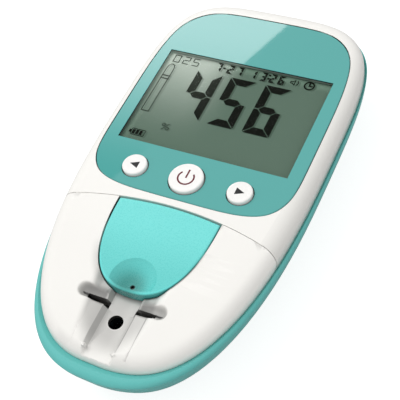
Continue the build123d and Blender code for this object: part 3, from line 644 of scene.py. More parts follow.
class Finish(Enum):
    """Every finish that the meter has."""

    CASE_WHITE = MouldedPlastic("case_white", (0.955, 0.948, 0.93), 0.32, shades=(
        # Painted shade on the lower flank of the right side, away from the nose.
        Shade(0.95, (WHITE_FLANK, 0.0, 0.5), (X, 4, 22), (Y, 62, 40)),
        # Painted shade on the walls of the gap round the display panel.
        Shade(0.12, (PANEL_OUTLINE, 0.26, 0.22), (PANEL_OUTLINE, -0.2, -0.1), (Z, 25.09, 25.0)),
    ))
    NOSE_WHITE = MouldedPlastic("nose_white", (0.955, 0.948, 0.93), 0.32, shades=(
        # Painted light on the lower right flank, lighter than the plain colour.
        Shade(1.07, (WHITE_FLANK, 1.0, 3.5), (X, 4, 22)),
        # Painted shade in the valley left of the strip channel.
        Shade(0.63, (DEPTH, 0.0, 0.75), (SIDE, 14.0, 10.0), (X, 3.0, -4.0), (Y, -63.5, -56)),
        # Painted shade in the valley right of the strip channel.
        Shade(0.70, (DEPTH, 0.0, 0.9), (SIDE, 9.5, 8.1), (X, -4.0, 1.0), (Y, -63.5, -57)),
        # Painted shade on the walls of the strip channel.
        Shade(0.68, (DEPTH, 0.2, 0.6), (SIDE, 3.86, 3.95), (SIDE, 4.92, 4.84), (Y, -63, -59)),
        # Painted shade line along the top edge of the channel's right wall.
        Shade(0.62, (X, 4.72, 4.8), (X, 5.1, 4.95), (Y, -63.0, -58), (Y, -49.0, -49.3), (DEPTH, 0.0, 0.5)),
        # Painted shade line along the outer edge of the right ledge.
        Shade(0.62, (X, 8.0, 8.15), (X, 8.5, 8.3), (Y, -60.0, -55), (Y, -49.0, -49.3), (DEPTH, 0.0, 0.5)),
        # Painted shade in the two scoops in front of the slots.
        Shade(0.45, (DEPTH, 0.15, 1.5), (Y, -49.6, -49.0), (Y, -43.5, -45.5), (SIDE, 4.7, 5.6),
              (SIDE, 15.0, 13.0)),
        # Painted shade, near black, inside the two slots.
        Shade(0.03, (Z, 22.5, 22.35), (Y, -49.2, -49.1), (Y, -47.1, -47.3), (SIDE, 3.7, 3.9),
              (SIDE, 12.4, 11.9)),
        # Painted shade, near black, on the wall of the sensor hole.
        Shade(0.05, (SENSOR_HOLE, 2.15, 2.12), (Z, 20.66, 20.6)),
        # Painted highlight on the near rim of the sensor hole.
        Shade(1.15, (SENSOR_HOLE, 2.5, 2.35), (Z, 20.66, 20.69), (Y, -51.5, -53.0)),
        # Painted shadow beside the flap's left side.
        Shade(0.74, (FLAP_OUTLINE, 3.4, 0.2), (Y, -30, -38), (X, -2, -6), (Z, 22.6, 23.2)),
        # Painted shadow in the crevice beside the flap's right side.
        Shade(0.30, (FLAP_OUTLINE, 0.95, 0.5), (Y, -26, -33), (X, 3, 6), (Z, 21.6, 22.0)),
        # Painted shade on the walls of the gap round the flap.
        Shade(0.10, (FLAP_OUTLINE, 0.40, 0.36), (Z, 20.85, 20.95)),
        # Painted shadow on the floor under the flap's front.
        Shade(0.45, (FLAP_OUTLINE, 1.6, -0.4), (Z, 21.2, 21.0)),
    ))
    SHELL_TEAL = MouldedPlastic("shell_teal", (0.37, 0.735, 0.715), 0.3, shades=(
        # Painted shade in the gutter beside the white case, on the right side.
        Shade((0.70, 0.86, 0.86), (WHITE_OUTLINE, 0.95, 0.75), (Z, 18.5, 18.6), (X, -10, 5), (Y, -60, -40)),
        # Painted shade along the seam under the white case, on the left side.
        Shade(0.4, (WHITE_OUTLINE, 0.42, 0.34), (Z, 17.0, 17.5), (Y, -60, -40), (X, 6, -6)),
    ))
    FLAP_TURQUOISE = MouldedPlastic("flap_turquoise", (0.44, 0.865, 0.845), 0.28,
                                    grain_depth=0.0006 * MM, shades=(
        # Painted shade, darker towards the flap's front.
        Shade((0.73, 0.86, 0.86), (Y, -22, -40)),
        # Painted shade in the dimple.
        Shade((0.42, 0.50, 0.48), (DIMPLE, 6.8, 1.5)),
        # Painted shade: a dark ring round the port.
        Shade(0.08, (PORT, 0.8, 0.62)),
        # Painted highlight along the front lip.
        Shade(1.18, (FLAP_OUTLINE, -0.75, -0.5), (FLAP_OUTLINE, -0.12, -0.25), (Y, -30, -38)),
        # Painted shade along the flap's edge.
        Shade(0.7, (FLAP_OUTLINE, -0.06, -0.01)),
    ))
    PANEL_TEAL = MouldedPlastic(
        "panel_teal", (0.33, 0.665, 0.645), 0.025, grain_depth=0.0004 * MM,
        # Painted shade on the walls of the three key holes.
        shades=tuple(Shade(0.08, (Spot(x, KEY_ROW_Y), radius, radius - 0.04))
                     for x, radius in ((0.0, 5.46), (-KEY_SIDE_X, 4.06), (KEY_SIDE_X, 4.06))))
    KEY_WHITE = MouldedPlastic("key_white", (0.965, 0.96, 0.95), 0.25)
    # Painted shade standing in for the shaded walls of the display opening: darker towards the right, at the
    # near left, and near black along the top.
    OPENING_SHADE = MouldedPlastic("painted_opening_shade", (0.60, 0.66, 0.62), 0.6, shine=0.1, shades=(
        Shade(0.45, (X, -6, 8)),
        Shade(0.25, (X, -25, -26), (Y, 30, 8)),
        Shade(0.03, (Z, 24.62, 24.78)),
    ))
    FRAME_WHITE = MouldedPlastic("frame_white", (0.88, 0.88, 0.86), 0.5)
    CHIP_BLACK = MouldedPlastic("chip_black", (0.09, 0.09, 0.09), 0.55, grain_depth=0.01 * MM)
    BLOCK_BLACK = MouldedPlastic("block_black", (0.24, 0.24, 0.23), 0.7, grain_depth=0.02 * MM, shine=0.15)
    EMITTER_CLEAR = MouldedPlastic("emitter_clear", (0.85, 0.82, 0.68), 0.15, 0.5)
    RIBBON_TAN = MouldedPlastic("ribbon_tan", (0.72, 0.47, 0.2), 0.35, 0.3)
    WINDOW_CLEAR = ClearPane("window_clear")
    OPTIC_CLEAR = ClearPane("optic_clear", (0.75, 0.8, 0.82))
    DISPLAY_FACE = DisplayFace("display_face", (0.388, 0.465, 0.418), (0.78, 0.81, 0.78))
    DISPLAY_SHADE = DisplayFace("display_shade", (0.31, 0.38, 0.335), (0.64, 0.67, 0.64))
    DISPLAY_INK = DisplayFace("display_ink", (0.06, 0.07, 0.055), (0.24, 0.26, 0.235))
    DISPLAY_FAINT = DisplayFace("display_faint", (0.20, 0.25, 0.22), (0.33, 0.36, 0.33))
    KEY_INK = PrintInk("key_ink", (0.10, 0.10, 0.11), 0.35)
    POWER_INK = PrintInk("power_ink", (0.36, 0.03, 0.11), 0.35)
    FOIL = PlatedMetal("foil", (0.8, 0.81, 0.79), 0.35, Brush.ACROSS)
    STEEL = PlatedMetal("steel", (0.62, 0.62, 0.61), 0.3)
    CONTACT = PlatedMetal("contact", (0.78, 0.77, 0.72), 0.22, Brush.ALONG)
    SWITCH = PlatedMetal("switch", (0.72, 0.72, 0.7), 0.35, Brush.ACROSS)
    FOOT = Elastomer("foot_rubber", (0.16, 0.17, 0.17))
    STRIPES = StripedElastomer("connector_stripes")
    BOARD = CircuitBoard("board_green")
    JACKET = CellJacket("cell_jacket")


@cache
def material_of(finish: Finish) -> Material:
    """Material of a finish, made when it is first asked for."""
    return finish.value.build()


def dress(piece: Piece, finish: Finish) -> None:
    """Give a piece one finish all over.

    Args:
        piece: Piece or CAD node.
        finish: Its finish.
    """
    material = material_of(finish)
    if not piece.material_slots:
        piece.data.materials.append(material)
    for slot in piece.material_slots:
        slot.material = material


def start_alone() -> None:
    """Leave edit mode and deselect everything, so that an operator acts on the new piece alone."""
    if bpy.context.mode != "OBJECT":
        bpy.ops.object.mode_set(mode="OBJECT")
    bpy.ops.object.select_all(action="DESELECT")


def take(piece: Piece) -> None:
    """Make a piece the only selected and the active one.

    Args:
        piece: The piece.
    """
    start_alone()
    piece.select_set(True)
    bpy.context.view_layer.objects.active = piece


def settle(piece: Piece, name: str) -> Piece:
    """Name a piece, bring its place into its mesh and turn its faces outwards.

    Args:
        piece: The new piece.
        name: Its name.

    Returns:
        The same piece.
    """
    take(piece)
    piece.name = name
    piece.data.name = name
    bpy.ops.object.transform_apply(location=True, rotation=True, scale=True)
    bpy.ops.object.mode_set(mode="EDIT")
    bpy.ops.mesh.select_all(action="SELECT")
    bpy.ops.mesh.remove_doubles(threshold=1e-7)
    bpy.ops.mesh.normals_make_consistent(inside=False)
    bpy.ops.object.mode_set(mode="OBJECT")
    return piece


def join(pieces: Sequence[Piece], name: str) -> Piece:
    """Join pieces into one.

    Args:
        pieces: What to join.
        name: Name of the result.

    Returns:
        The joined piece.
    """
    start_alone()
    for piece in pieces:
        piece.select_set(True)
    bpy.context.view_layer.objects.active = pieces[0]
    bpy.ops.object.join()
    return settle(pieces[0], name)


def flat_face(corners: Sequence[Place]) -> Piece:
    """One face in edit mode, drawn from a filled circle whose points are moved to the corners.

    Args:
        corners: The corners in order, as X, Y and Z.

    Returns:
        The new piece.
    """
    start_alone()
    bpy.ops.mesh.primitive_circle_add(vertices=len(corners), radius=MM, fill_type="NGON",
                                      location=(0, 0, 0), enter_editmode=True)
    piece = bpy.context.object
    points = bmesh.from_edit_mesh(piece.data)
    points.verts.ensure_lookup_table()
    for vert, corner in zip(points.verts, corners):
        vert.co = corner
    bmesh.update_edit_mesh(piece.data)
    return piece


def draw_out(piece: Piece, name: str, way: Place) -> Piece:
    """Draw the chosen faces or edges out along a way, and settle the piece under its name."""
    bpy.ops.mesh.extrude_region_move(TRANSFORM_OT_translate={"value": way})
    return settle(piece, name)


def plate(name: str, corners: Sequence[Point], low: float, high: float) -> Piece:
    """Flat plate with the given corners, from its underside to its top."""
    return draw_out(flat_face([(x, y, low) for x, y in corners]), name, (0, 0, high - low))


def outline_band(name: str, corners: Sequence[Point], width: float, low: float, high: float) -> Piece:
    """Thin closed band along the inside of an outline.

    Args:
        name: Name of the piece.
        corners: Corners of the outline.
        width: Width of the band.
        low: Height of its underside.
        high: Height of its top.

    Returns:
        The band.
    """
    piece = flat_face([(x, y, low) for x, y in corners])
    bpy.ops.mesh.inset(thickness=width, depth=0)
    bpy.ops.mesh.delete(type="FACE")
    bpy.ops.mesh.select_all(action="SELECT")
    return draw_out(piece, name, (0, 0, high - low))


def arc(centre: Point, radius: float, start: float, end: float, steps: int) -> list[Point]:
    """Points along an arc.

    Args:
        centre: Its centre.
        radius: Its radius.
        start: Angle of its first point, in degrees.
        end: Angle of its last point, in degrees.
        steps: Number of runs between points.

    Returns:
        The points.
    """
    turns = [math.radians(start + (end - start) * step / steps) for step in range(steps + 1)]
    return [(centre[0] + radius * math.cos(t), centre[1] + radius * math.sin(t)) for t in turns]


def arc_band(centre: Point, inner: float, outer: float, start: float, end: float, steps: int) -> list[Point]:
    """Corners of a curved band between two radii, from one angle to another in degrees."""
    return arc(centre, outer, start, end, steps) + arc(centre, inner, end, start, steps)


def box_corners(left: float, right: float, near: float, far: float) -> list[Point]:
    """Corners of an upright rectangle."""
    return [(left, near), (right, near), (right, far), (left, far)]


def rounded_box(left: float, right: float, near: float, far: float, radius: float) -> list[Point]:
    """Corners of an upright rectangle with rounded corners.

    Args:
        left: X of its left side.
        right: X of its right side.
        near: Y of its near side.
        far: Y of its far side.
        radius: Radius of its corners.

    Returns:
        The corners.
    """
    places = ((right - radius, far - radius, 0), (left + radius, far - radius, 90),
              (left + radius, near + radius, 180), (right - radius, near + radius, 270))
    return [point for x, y, turn in places for point in arc((x, y), radius, turn, turn + 90, 5)]


def around(place: Point, offsets: Sequence[Point]) -> list[Point]:
    """Points at offsets in millimetres from a place."""
    return [(place[0] + x * MM, place[1] + y * MM) for x, y in offsets]


class CadPieces:
    """CAD nodes that keep their form and take one finish each."""

    plan: ClassVar[dict[str, Finish]] = {}

    def build(self) -> int:
        """Dress the nodes.

        Returns:
            The number of pieces.
        """
        for node, finish in self.plan.items():
            dress(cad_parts[node], finish)
        return len(self.plan)


class CaseShells(CadPieces):
    """The moulded housing: teal lower shell, the two white parts that close it, and the underside."""

    plan = {"lower_shell": Finish.SHELL_TEAL, "upper_case": Finish.CASE_WHITE,
            "front_housing": Finish.NOSE_WHITE, "battery_door": Finish.SHELL_TEAL,
            "rubber_feet": Finish.FOOT, "case_screws": Finish.STEEL}


@dataclass
class NoseMoulding:
    """White nose whose strip channel runs on under the flap, with longer slots beside it."""

    floor: float = 20.7 * MM
    ledge: float = 22.5 * MM
    floor_half: float = 3.9 * MM
    ledge_inner: float = 4.85 * MM
    start_y: float = -48.45 * MM
    end_y: float = -43.3 * MM
    slot_near: float = -48.98 * MM
    slot_far: float = -47.2 * MM
    slot_reach: float = 10.2 * MM
    slot_low: float = 17.0 * MM
    slot_high: float = 22.9 * MM
    sky: float = 26.5 * MM
    soft_angle: float = math.radians(22)
    soft_weight: int = 90

    def build(self) -> int:
        """Cut a merged copy of the moulding and put it in place of the plain one.

        Returns:
            The number of pieces.
        """
        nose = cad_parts["front_housing"]
        take(nose)
        bpy.ops.object.duplicate()
        copy = settle(bpy.context.object, "nose_moulding")
        for cutter in (self.run_on(), *(self.slot(side) for side in (-1, 1))):
            take(copy)
            cut = copy.modifiers.new("cut", "BOOLEAN")
            cut.operation = "DIFFERENCE"
            cut.solver = "EXACT"
            cut.object = cutter
            bpy.ops.object.modifier_apply(modifier=cut.name)
            bpy.data.objects.remove(cutter)
        take(copy)
        bpy.ops.object.shade_smooth_by_angle(angle=self.soft_angle)
        soft = copy.modifiers.new("soft", "WEIGHTED_NORMAL")
        soft.keep_sharp = True
        soft.weight = self.soft_weight
        bpy.ops.object.modifier_apply(modifier=soft.name)
        dress(copy, Finish.NOSE_WHITE)
        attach(copy, "housing")
        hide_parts("front_housing")
        return 1

    def run_on(self) -> Piece:
        """Body of air that the channel takes between its old end and the space under the flap.

        Returns:
            The body.
        """
        low, high = self.floor_half, self.ledge_inner
        section = ((-low, self.floor), (low, self.floor), (high, self.ledge),
                   (high, self.sky), (-high, self.sky), (-high, self.ledge))
        face = flat_face([(x, self.start_y, z) for x, z in section])
        return draw_out(face, "channel_air", (0, self.end_y - self.start_y, 0))

    def slot(self, side: int) -> Piece:
        """Body of air of one slot.

        Args:
            side: -1 for the left slot, 1 for the right one.

        Returns:
            The body.
        """
        ends = sorted((side * self.floor_half, side * self.slot_reach))
        corners = box_corners(*ends, self.slot_near, self.slot_far)
        return plate("slot_air", corners, self.slot_low, self.slot_high)


@dataclass
class Ink:
    """Flat ink on the display, all between two heights."""

    low: float
    high: float

    def fill(self, name: str, corners: Sequence[Point]) -> Piece:
        """Filled shape."""
        return plate(name, corners, self.low, self.high)

    def line(self, name: str, corners: Sequence[Point], width: float) -> Piece:
        """Line along the inside of an outline."""
        return outline_band(name, corners, width, self.low, self.high)


@dataclass
class SegmentDigits(Ink):
    """Seven-segment digits of one size."""

    near: float
    width: float
    height: float
    stroke: float
    gap_share: float = 0.07
    dot_rises: tuple[float, ...] = (0.3, 0.68)
    shapes: ClassVar[dict[str, str]] = {
        "0": "abcdef", "1": "bc", "2": "abged", "3": "abgcd", "4": "fgbc", "5": "afgcd",
        "6": "afgecd", "7": "abc", "8": "abcdefg", "9": "abcdfg", "-": "g"}

    def segment(self, letter: str) -> list[Point]:
        """Corners of one segment in a digit whose near left corner is at 0, 0.

        Args:
            letter: Which segment, from a to g.

        Returns:
            The corners.
        """
        width, height, stroke = self.width, self.height, self.stroke
        gap, half = stroke * self.gap_share, height / 2
        side = [(0, half + gap), (0, height - gap), (stroke, height - stroke - gap),
                (stroke, half + stroke / 2 + gap), (stroke / 2, half + gap)]
        cap = [(gap, height), (width - gap, height), (width - stroke - gap, height - stroke),
               (stroke + gap, height - stroke)]
        bar = [(stroke / 2 + gap, half), (stroke + gap, half + stroke / 2),
               (width - stroke - gap, half + stroke / 2), (width - stroke / 2 - gap, half),
               (width - stroke - gap, half - stroke / 2), (stroke + gap, half - stroke / 2)]
        if letter in "bc":
            side = [(width - x, y) for x, y in side]
        if letter in "ce":
            side = [(x, height - y) for x, y in side]
        if letter == "d":
            cap = [(x, height - y) for x, y in cap]
        return {"a": cap, "d": cap, "g": bar}.get(letter, side)

    def row(self, name: str, text: str, left: float, *pitches: float) -> Piece:
        """A row of digits as one piece.

        Args:
            name: Name of the piece.
            text: What it reads.
            left: X of the first digit's left side, in millimetres.
            pitches: Step from each digit to the next, in millimetres.

        Returns:
            The piece.
        """
        shapes = []
        x = left * MM
        for place, sign in enumerate(text):
            for letter in self.shapes.get(sign, ""):
                corners = [(x + cx, self.near + cy) for cx, cy in self.segment(letter)]
                shapes.append(self.fill(f"{name}_{place}{letter}", corners))
            for rise in self.dot_rises if sign == ":" else ():
                foot = self.near + rise * self.height
                dot = box_corners(x, x + self.stroke, foot, foot + self.stroke)
                shapes.append(self.fill(f"{name}_{place}{rise}", dot))
            if place < len(pitches):
                x += pitches[place] * MM
        return join(shapes, name)


@dataclass
class Signs(Ink):
    """Plain signs round the digits of the display."""

    def build(self) -> list[Piece]:
        """All the signs."""
        return [self.speaker(), self.clock(), self.battery(), self.percent(), self.strip_gauge()]

    def speaker(self) -> Piece:
        """Loudspeaker sign.

        Returns:
            The sign.
        """
        x, y = 13.8 * MM, 38.4 * MM
        cone = around((x, y), ((0, -0.5), (0.7, -0.5), (1.6, -1.25), (1.6, 1.25), (0.7, 0.5), (0, 0.5)))
        wave = arc_band((x + 1.2 * MM, y), 1.15 * MM, 1.5 * MM, -42, 42, 10)
        return join([self.line("cone", cone, 0.3 * MM), self.fill("wave", wave)], "speaker_sign")

    def clock(self) -> Piece:
        """Round sign with two hands.

        Returns:
            The sign.
        """
        middle = (19.9 * MM, 38.35 * MM)
        rim = self.line("rim", arc(middle, 1.72 * MM, 0, 345, 23), 0.5 * MM)
        hand = self.fill("hand", around(middle, box_corners(-0.26, 0.26, -0.15, 1.3)))
        arm = self.fill("arm", around(middle, box_corners(-0.26, 1.1, -0.3, 0.2)))
        return join([rim, hand, arm], "clock_sign")

    def battery(self) -> Piece:
        """Battery sign with three bars.

        Returns:
            The sign.
        """
        left, right, near, far = -25.0 * MM, -20.3 * MM, 5.45 * MM, 7.95 * MM
        body = self.line("body", rounded_box(left, right, near, far, 0.45 * MM), 0.22 * MM)
        nub = self.fill("nub", box_corners(left - 0.6 * MM, left, near + 0.7 * MM, far - 0.7 * MM))
        rows = (near + 0.4 * MM, far - 0.4 * MM)
        bars = [self.fill("bar", box_corners(left + (0.5 + start) * MM, left + (1.4 + start) * MM, *rows))
                for start in (1.2 * step for step in range(3))]
        return join([body, nub, *bars], "battery_sign")

    def percent(self) -> Piece:
        """Percent sign: two rings and a leaning bar.

        Returns:
            The sign.
        """
        x, y = -15.5 * MM, 11.1 * MM
        centres = [(x + side * 0.8 * MM, y - side * 0.65 * MM) for side in (-1, 1)]
        rings = [self.line("ring", arc(centre, 0.62 * MM, 0, 330, 11), 0.22 * MM) for centre in centres]
        bar = around((x, y), ((-1.05, -1.35), (-0.75, -1.35), (1.05, 1.35), (0.75, 1.35)))
        return join([*rings, self.fill("bar", bar)], "percent_sign")

    def strip_gauge(self) -> Piece:
        """Outline of a test strip with a rounded head and two cross lines.

        Returns:
            The sign.
        """
        left, right, near, far = -26.0 * MM, -23.3 * MM, 15.1 * MM, 33.2 * MM
        middle, half, rise, steps = (left + right) / 2, (right - left) / 2, 2.4 * MM, 14
        head = [(middle + half * math.cos(t), far + rise * math.sin(t))
                for t in (math.pi * step / steps for step in range(steps + 1))]
        body = self.line("body", [(left, near), (right, near), *head], 0.27 * MM)
        lines = [self.fill(f"line{step}", box_corners(left - 0.1 * MM, right + 0.1 * MM, y, y + 0.36 * MM))
                 for step, y in enumerate((30.25 * MM, 29.0 * MM))]
        return join([body, *lines], "strip_sign")


@dataclass
class Display(CadPieces):
    """Display panel, its clear window, the display and the marks that show on it."""

    middle_y: float = 21.35 * MM
    width: float = 54.0 * MM
    length: float = 37.3 * MM
    mark_lift: float = 0.03 * MM
    mark_thickness: float = 0.02 * MM
    shade_shift: Place = (0.6 * MM, -0.2 * MM, -0.022 * MM)
    opening_shade_width: float = 0.05 * MM
    opening_shade_gap: float = 0.01 * MM
    opening_shade_drop: float = 0.12 * MM
    plan = {"display_panel": Finish.PANEL_TEAL, "display_window": Finish.WINDOW_CLEAR,
            "lcd_cell": Finish.DISPLAY_FACE, "lcd_reflector": Finish.FOIL, "lcd_frame": Finish.FRAME_WHITE,
            "lcd_connectors": Finish.STRIPES}

    def build(self) -> int:
        """Dress the display's nodes and add its marks and the band of painted shade round its opening.

        Returns:
            The number of pieces.
        """
        count = super().build()
        for mark in self.marks():
            faint = mark.name.startswith("faint")
            dress(mark, Finish.DISPLAY_FAINT if faint else Finish.DISPLAY_INK)
            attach(mark, "housing")
            count += 1
            if not faint:
                self.shade(mark)
                count += 1
        self.add_opening_shade()
        return count + 1

    def marks(self) -> list[Piece]:
        """All the dark marks on the display.

        Returns:
            The marks.
        """
        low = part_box("lcd_cell")[1].z + self.mark_lift
        heights = (low, low + self.mark_thickness)
        large = SegmentDigits(*heights, near=15.9 * MM, width=8.5 * MM, height=19.3 * MM, stroke=2.6 * MM)
        small = SegmentDigits(*heights, near=36.35 * MM, width=1.95 * MM, height=3.6 * MM, stroke=0.72 * MM)
        code = SegmentDigits(*heights, near=36.4 * MM, width=2.3 * MM, height=3.2 * MM, stroke=0.34 * MM)
        return [large.row("reading_digits", "456", -15.5, 11.2, 11.5),
                small.row("date_digits", "7-27", -10.8, 1.85, 2.1, 3.1),
                small.row("time_digits", "13:26", 0.8, 3.4, 2.3, 0.8, 2.8),
                code.row("faint_code_digits", "025", -25.4, 3.3, 3.3),
                *Signs(*heights).build()]

    def shade(self, mark: Piece) -> None:
        """Faint shadow that a mark throws on the sheet behind the display.

        Args:
            mark: The mark.
        """
        take(mark)
        bpy.ops.object.duplicate()
        shadow = bpy.context.object
        shadow.location = self.shade_shift
        settle(shadow, mark.name + "_shade")
        dress(shadow, Finish.DISPLAY_SHADE)
        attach(shadow, "housing")

    def add_opening_shade(self) -> None:
        """Band of painted shade round the display opening, which shows as a thin strip on two sides."""
        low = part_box("display_window")[1].z + self.opening_shade_gap
        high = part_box("display_panel")[1].z - self.opening_shade_drop
        corners = box_corners(-self.width / 2 + self.opening_shade_gap, self.width / 2 - self.opening_shade_gap,
                              self.middle_y - self.length / 2 + self.opening_shade_gap,
                              self.middle_y + self.length / 2 - self.opening_shade_gap)
        shade_band = outline_band("display_opening_shade", corners, self.opening_shade_width, low, high)
        dress(shade_band, Finish.OPENING_SHADE)
        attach(shade_band, "housing")


@dataclass
class Key:
    """One round key: a cap with a soft edge and a shallow dish that holds its sign."""

    node: str
    x: float
    y: float
    radius: float
    edge: float = 0.42 * MM
    dish_rim: float = 0.75 * MM
    dish_slope: float = 0.5 * MM
    dish_land: float = 0.2 * MM
    dish_depth: float = 0.06 * MM
    sign_thickness: float = 0.02 * MM
    sides: int = 72
    soft_angle: float = math.radians(40)

    def build(self) -> None:
        """Model the cap and put it in place of the plain one."""
        low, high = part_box(self.node)
        start_alone()
        bpy.ops.mesh.primitive_cylinder_add(
            vertices=self.sides, radius=self.radius, depth=high.z - low.z,
            location=(self.x, self.y, (low.z + high.z) / 2), enter_editmode=True)
        cap = bpy.context.object
        self.pick_top(cap, high.z - cap.location.z)
        bpy.ops.mesh.bevel(offset=self.edge, segments=5, affect="EDGES")
        self.pick_top(cap, high.z - cap.location.z)
        bpy.ops.mesh.inset(thickness=self.dish_rim - self.edge)
        bpy.ops.mesh.inset(thickness=self.dish_slope, depth=-self.dish_depth)
        bpy.ops.mesh.inset(thickness=self.dish_land)
        bpy.ops.object.mode_set(mode="OBJECT")
        cap = settle(cap, self.node + "_cap")
        bpy.ops.object.shade_smooth_by_angle(angle=self.soft_angle)
        dress(cap, Finish.KEY_WHITE)
        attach(cap, self.node)
        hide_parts(self.node)

    def pick_top(self, cap: Piece, height: float) -> None:
        """Select the flat top face of the cap.

        Args:
            cap: The cap, in edit mode.
            height: Height of its top in its own mesh.
        """
        bpy.ops.mesh.select_all(action="DESELECT")
        faces = bmesh.from_edit_mesh(cap.data)
        for face in faces.faces:
            flat = face.normal.z > 0.99
            if flat and abs(face.calc_center_median().z - height) < 1e-6 and len(face.verts) > 8:
                face.select_set(True)
        bmesh.update_edit_mesh(cap.data)

    def sign(self, outlines: Sequence[Sequence[Point]], ink: Finish) -> None:
        """Print a sign in the dish.

        Args:
            outlines: Corners of each of its shapes, from the middle of the key.
            ink: Its ink.
        """
        name = self.node + "_sign"
        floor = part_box(self.node)[1].z - self.dish_depth
        plates = [plate(f"{name}{step}", [(self.x + x, self.y + y) for x, y in corners],
                        floor, floor + self.sign_thickness) for step, corners in enumerate(outlines)]
        mark = join(plates, name)
        dress(mark, ink)
        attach(mark, self.node)


@dataclass
class Keypad(CadPieces):
    """The three keys and the switches that they press.

    The arrow's back and half height are shares of its reach, and the ring's ends are in degrees.
    """

    row_y: float = KEY_ROW_Y
    side_x: float = KEY_SIDE_X
    side_radius: float = 3.7 * MM
    power_radius: float = 5.1 * MM
    arrow: float = 1.45 * MM
    arrow_back: float = 0.85
    arrow_half: float = 0.82
    ring: float = 2.35 * MM
    ring_stroke: float = 0.5 * MM
    ring_ends: Span = (138, 403)
    bar_ends: Span = (-0.1 * MM, 2.9 * MM)
    plan = {"key_switches": Finish.SWITCH}

    def build(self) -> int:
        """Build the keys and their signs.

        Returns:
            The number of pieces.
        """
        rows = []
        for side, node in ((-1, "left_button"), (1, "right_button")):
            back, half = -side * self.arrow * self.arrow_back, self.arrow_half * self.arrow
            arrow = [(side * self.arrow, 0.0), (back, half), (back, -half)]
            rows.append((Key(node, side * self.side_x, self.row_y, self.side_radius), [arrow], Finish.KEY_INK))
        half = self.ring_stroke / 2
        power = [arc_band((0.0, 0.0), self.ring - half, self.ring + half, *self.ring_ends, 40),
                 box_corners(-half, half, *self.bar_ends)]
        rows.append((Key("power_button", 0.0, self.row_y, self.power_radius), power, Finish.POWER_INK))
        for key, outlines, ink in rows:
            key.build()
            key.sign(outlines, ink)
        return super().build() + 2 * len(rows)


class FlapAndOptics(CadPieces):
    """Cover flap, its pin and the optics under the strip channel."""

    plan = {"cover_flap": Finish.FLAP_TURQUOISE, "flap_pin": Finish.STEEL,
            "optical_block": Finish.BLOCK_BLACK, "optic_window": Finish.OPTIC_CLEAR,
            "optical_board": Finish.BOARD, "optic_emitters": Finish.EMITTER_CLEAR,
            "optic_screws": Finish.STEEL, "ribbon_cable": Finish.RIBBON_TAN}


class Electronics(CadPieces):
    """Board, its parts, and the cells with their contacts."""

    plan = {"main_board": Finish.BOARD, "board_chips": Finish.CHIP_BLACK, "buzzer": Finish.CHIP_BLACK,
            "board_screws": Finish.STEEL, "batteries": Finish.JACKET, "plate_contacts": Finish.CONTACT,
            "spring_contacts": Finish.CONTACT}


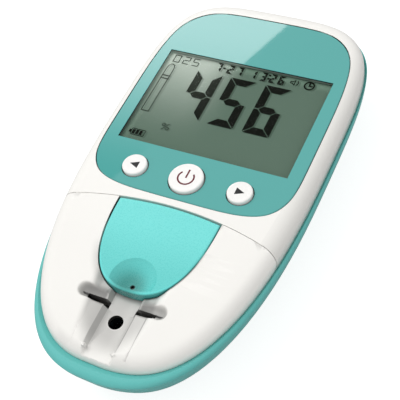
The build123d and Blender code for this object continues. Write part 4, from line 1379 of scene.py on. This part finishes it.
@dataclass
class Studio:
    """Camera at the photograph's place, pale floor, soft light and the card that the panel mirrors."""

    camera_place: Place = (0.10136, -0.13901, 0.22853)
    azimuth: float = 36.60
    elevation: float = 52.03
    roll: float = 14.98
    lens: float = 84.11
    sky: float = 0.62
    key_power: float = 5.2
    fill_share: float = 0.22
    floor_size: float = 6.0
    floor_lift: float = 0.80
    floor_lit: Span = (0.56, 0.57)
    floor_seen: Span = (0.38, 0.39)
    card_height: float = 0.8
    card_corners: tuple[Point, ...] = ((-0.80, 0.42), (-0.504, 0.42), (-0.334, 0.90), (-0.80, 0.90))
    card_fade: Span = (0.46, 0.79)
    card_strength: float = 6.0

    def build(self) -> None:
        """Make the whole studio."""
        self.camera()
        self.world()
        self.floor()
        self.lamp("key_lamp", (-0.55, 0.15, 0.85), 0.7, self.key_power)
        self.lamp("fill_lamp", (0.6, -0.5, 0.6), 0.9, self.key_power * self.fill_share)
        self.card()

    def camera(self) -> None:
        """Put the camera where the photograph was taken."""
        turn = math.radians(self.azimuth)
        tilt = math.radians(self.elevation)
        view = Vector((-math.sin(turn) * math.cos(tilt), math.cos(turn) * math.cos(tilt), -math.sin(tilt)))
        level = Vector((math.cos(turn), math.sin(turn), 0.0))
        right = Matrix.Rotation(math.radians(self.roll), 3, view) @ level
        up = right.cross(view)
        data = bpy.data.cameras.new("photo_camera")
        data.sensor_width = 36.0
        data.lens = self.lens
        data.clip_start = 0.01
        camera = bpy.data.objects.new("photo_camera", data)
        bpy.context.scene.collection.objects.link(camera)
        axes = Matrix((right, up, -view)).transposed().to_4x4()
        camera.matrix_world = Matrix.Translation(self.camera_place) @ axes
        bpy.context.scene.camera = camera

    def world(self) -> None:
        """White surroundings for the camera and for gloss, at a lower level for lighting."""
        tree = Tree("studio", world=True)
        rays = tree.add("LightPath").outputs
        seen = tree.math("MAXIMUM", rays["Is Camera Ray"], rays["Is Transmission Ray"])
        gloss = tree.math("MAXIMUM", seen, rays["Is Glossy Ray"])
        light = tree.add("Background", Color=grey(1.0), Strength=tree.ramp(gloss, 0.0, 1.0, self.sky))
        bpy.context.scene.world = tree.finish(light.outputs[0])

    def floor(self) -> None:
        """Pale floor that keeps a soft shadow."""
        start_alone()
        bpy.ops.mesh.primitive_plane_add(size=self.floor_size, location=(0, 0, 0))
        floor = bpy.context.object
        floor.name = "floor"
        tree = Tree("floor_paper")
        seen = tree.add("LightPath").outputs["Is Camera Ray"]
        grain = tree.noise(tree.place(), 4 * MM)
        lit, shown = (tree.blend(grain, *map(grey, levels)) for levels in (self.floor_lit, self.floor_seen))
        floor.data.materials.append(tree.surface(
            Roughness=0.9, Specular_IOR_Level=0.0, Base_Color=tree.blend(seen, lit, shown),
            Emission_Color=grey(1.0), Emission_Strength=tree.math("MULTIPLY", seen, self.floor_lift)))

    def lamp(self, name: str, place: Place, size: float, power: float) -> None:
        """Square soft lamp that points at the meter.

        Args:
            name: Name of the lamp.
            place: Where it hangs.
            size: Side of its square.
            power: Its power in watts.
        """
        data = bpy.data.lights.new(name, "AREA")
        data.shape = "SQUARE"
        data.size = size
        data.energy = power
        lamp = bpy.data.objects.new(name, data)
        bpy.context.scene.collection.objects.link(lamp)
        lamp.location = place
        lamp.rotation_euler = (-Vector(place)).to_track_quat("-Z", "Y").to_euler()
        lamp.visible_glossy = False

    def card(self) -> None:
        """Bright card that shows only as the pale reflection across the panel's far left part."""
        card = flat_face([(x, y, self.card_height) for x, y in self.card_corners])
        bpy.ops.object.mode_set(mode="OBJECT")
        card.name = "mirror_card"
        tree = Tree("card_light")
        share = tree.ramp(tree.axes()[1], *self.card_fade, smooth=True)
        light = tree.add("Emission", Color=grey(1.0),
                         Strength=tree.math("MULTIPLY", share, self.card_strength))
        card.data.materials.append(tree.finish(light.outputs[0]))
        for ray in ("camera", "diffuse", "shadow", "transmission"):
            setattr(card, "visible_" + ray, False)


def main() -> None:
    """Build every sub-assembly in order and report each."""
    logging.basicConfig(level=logging.INFO, format="%(message)s")
    bpy.context.scene.view_settings.view_transform = "Standard"
    Studio().build()
    parts = {"case shells": CaseShells(), "nose moulding": NoseMoulding(), "display": Display(),
             "keypad": Keypad(), "flap and optics": FlapAndOptics(), "electronics": Electronics()}
    for name, part in parts.items():
        LOG.info("%s: %d pieces dressed or built", name, part.build())


if __name__ == "__main__":
    main()
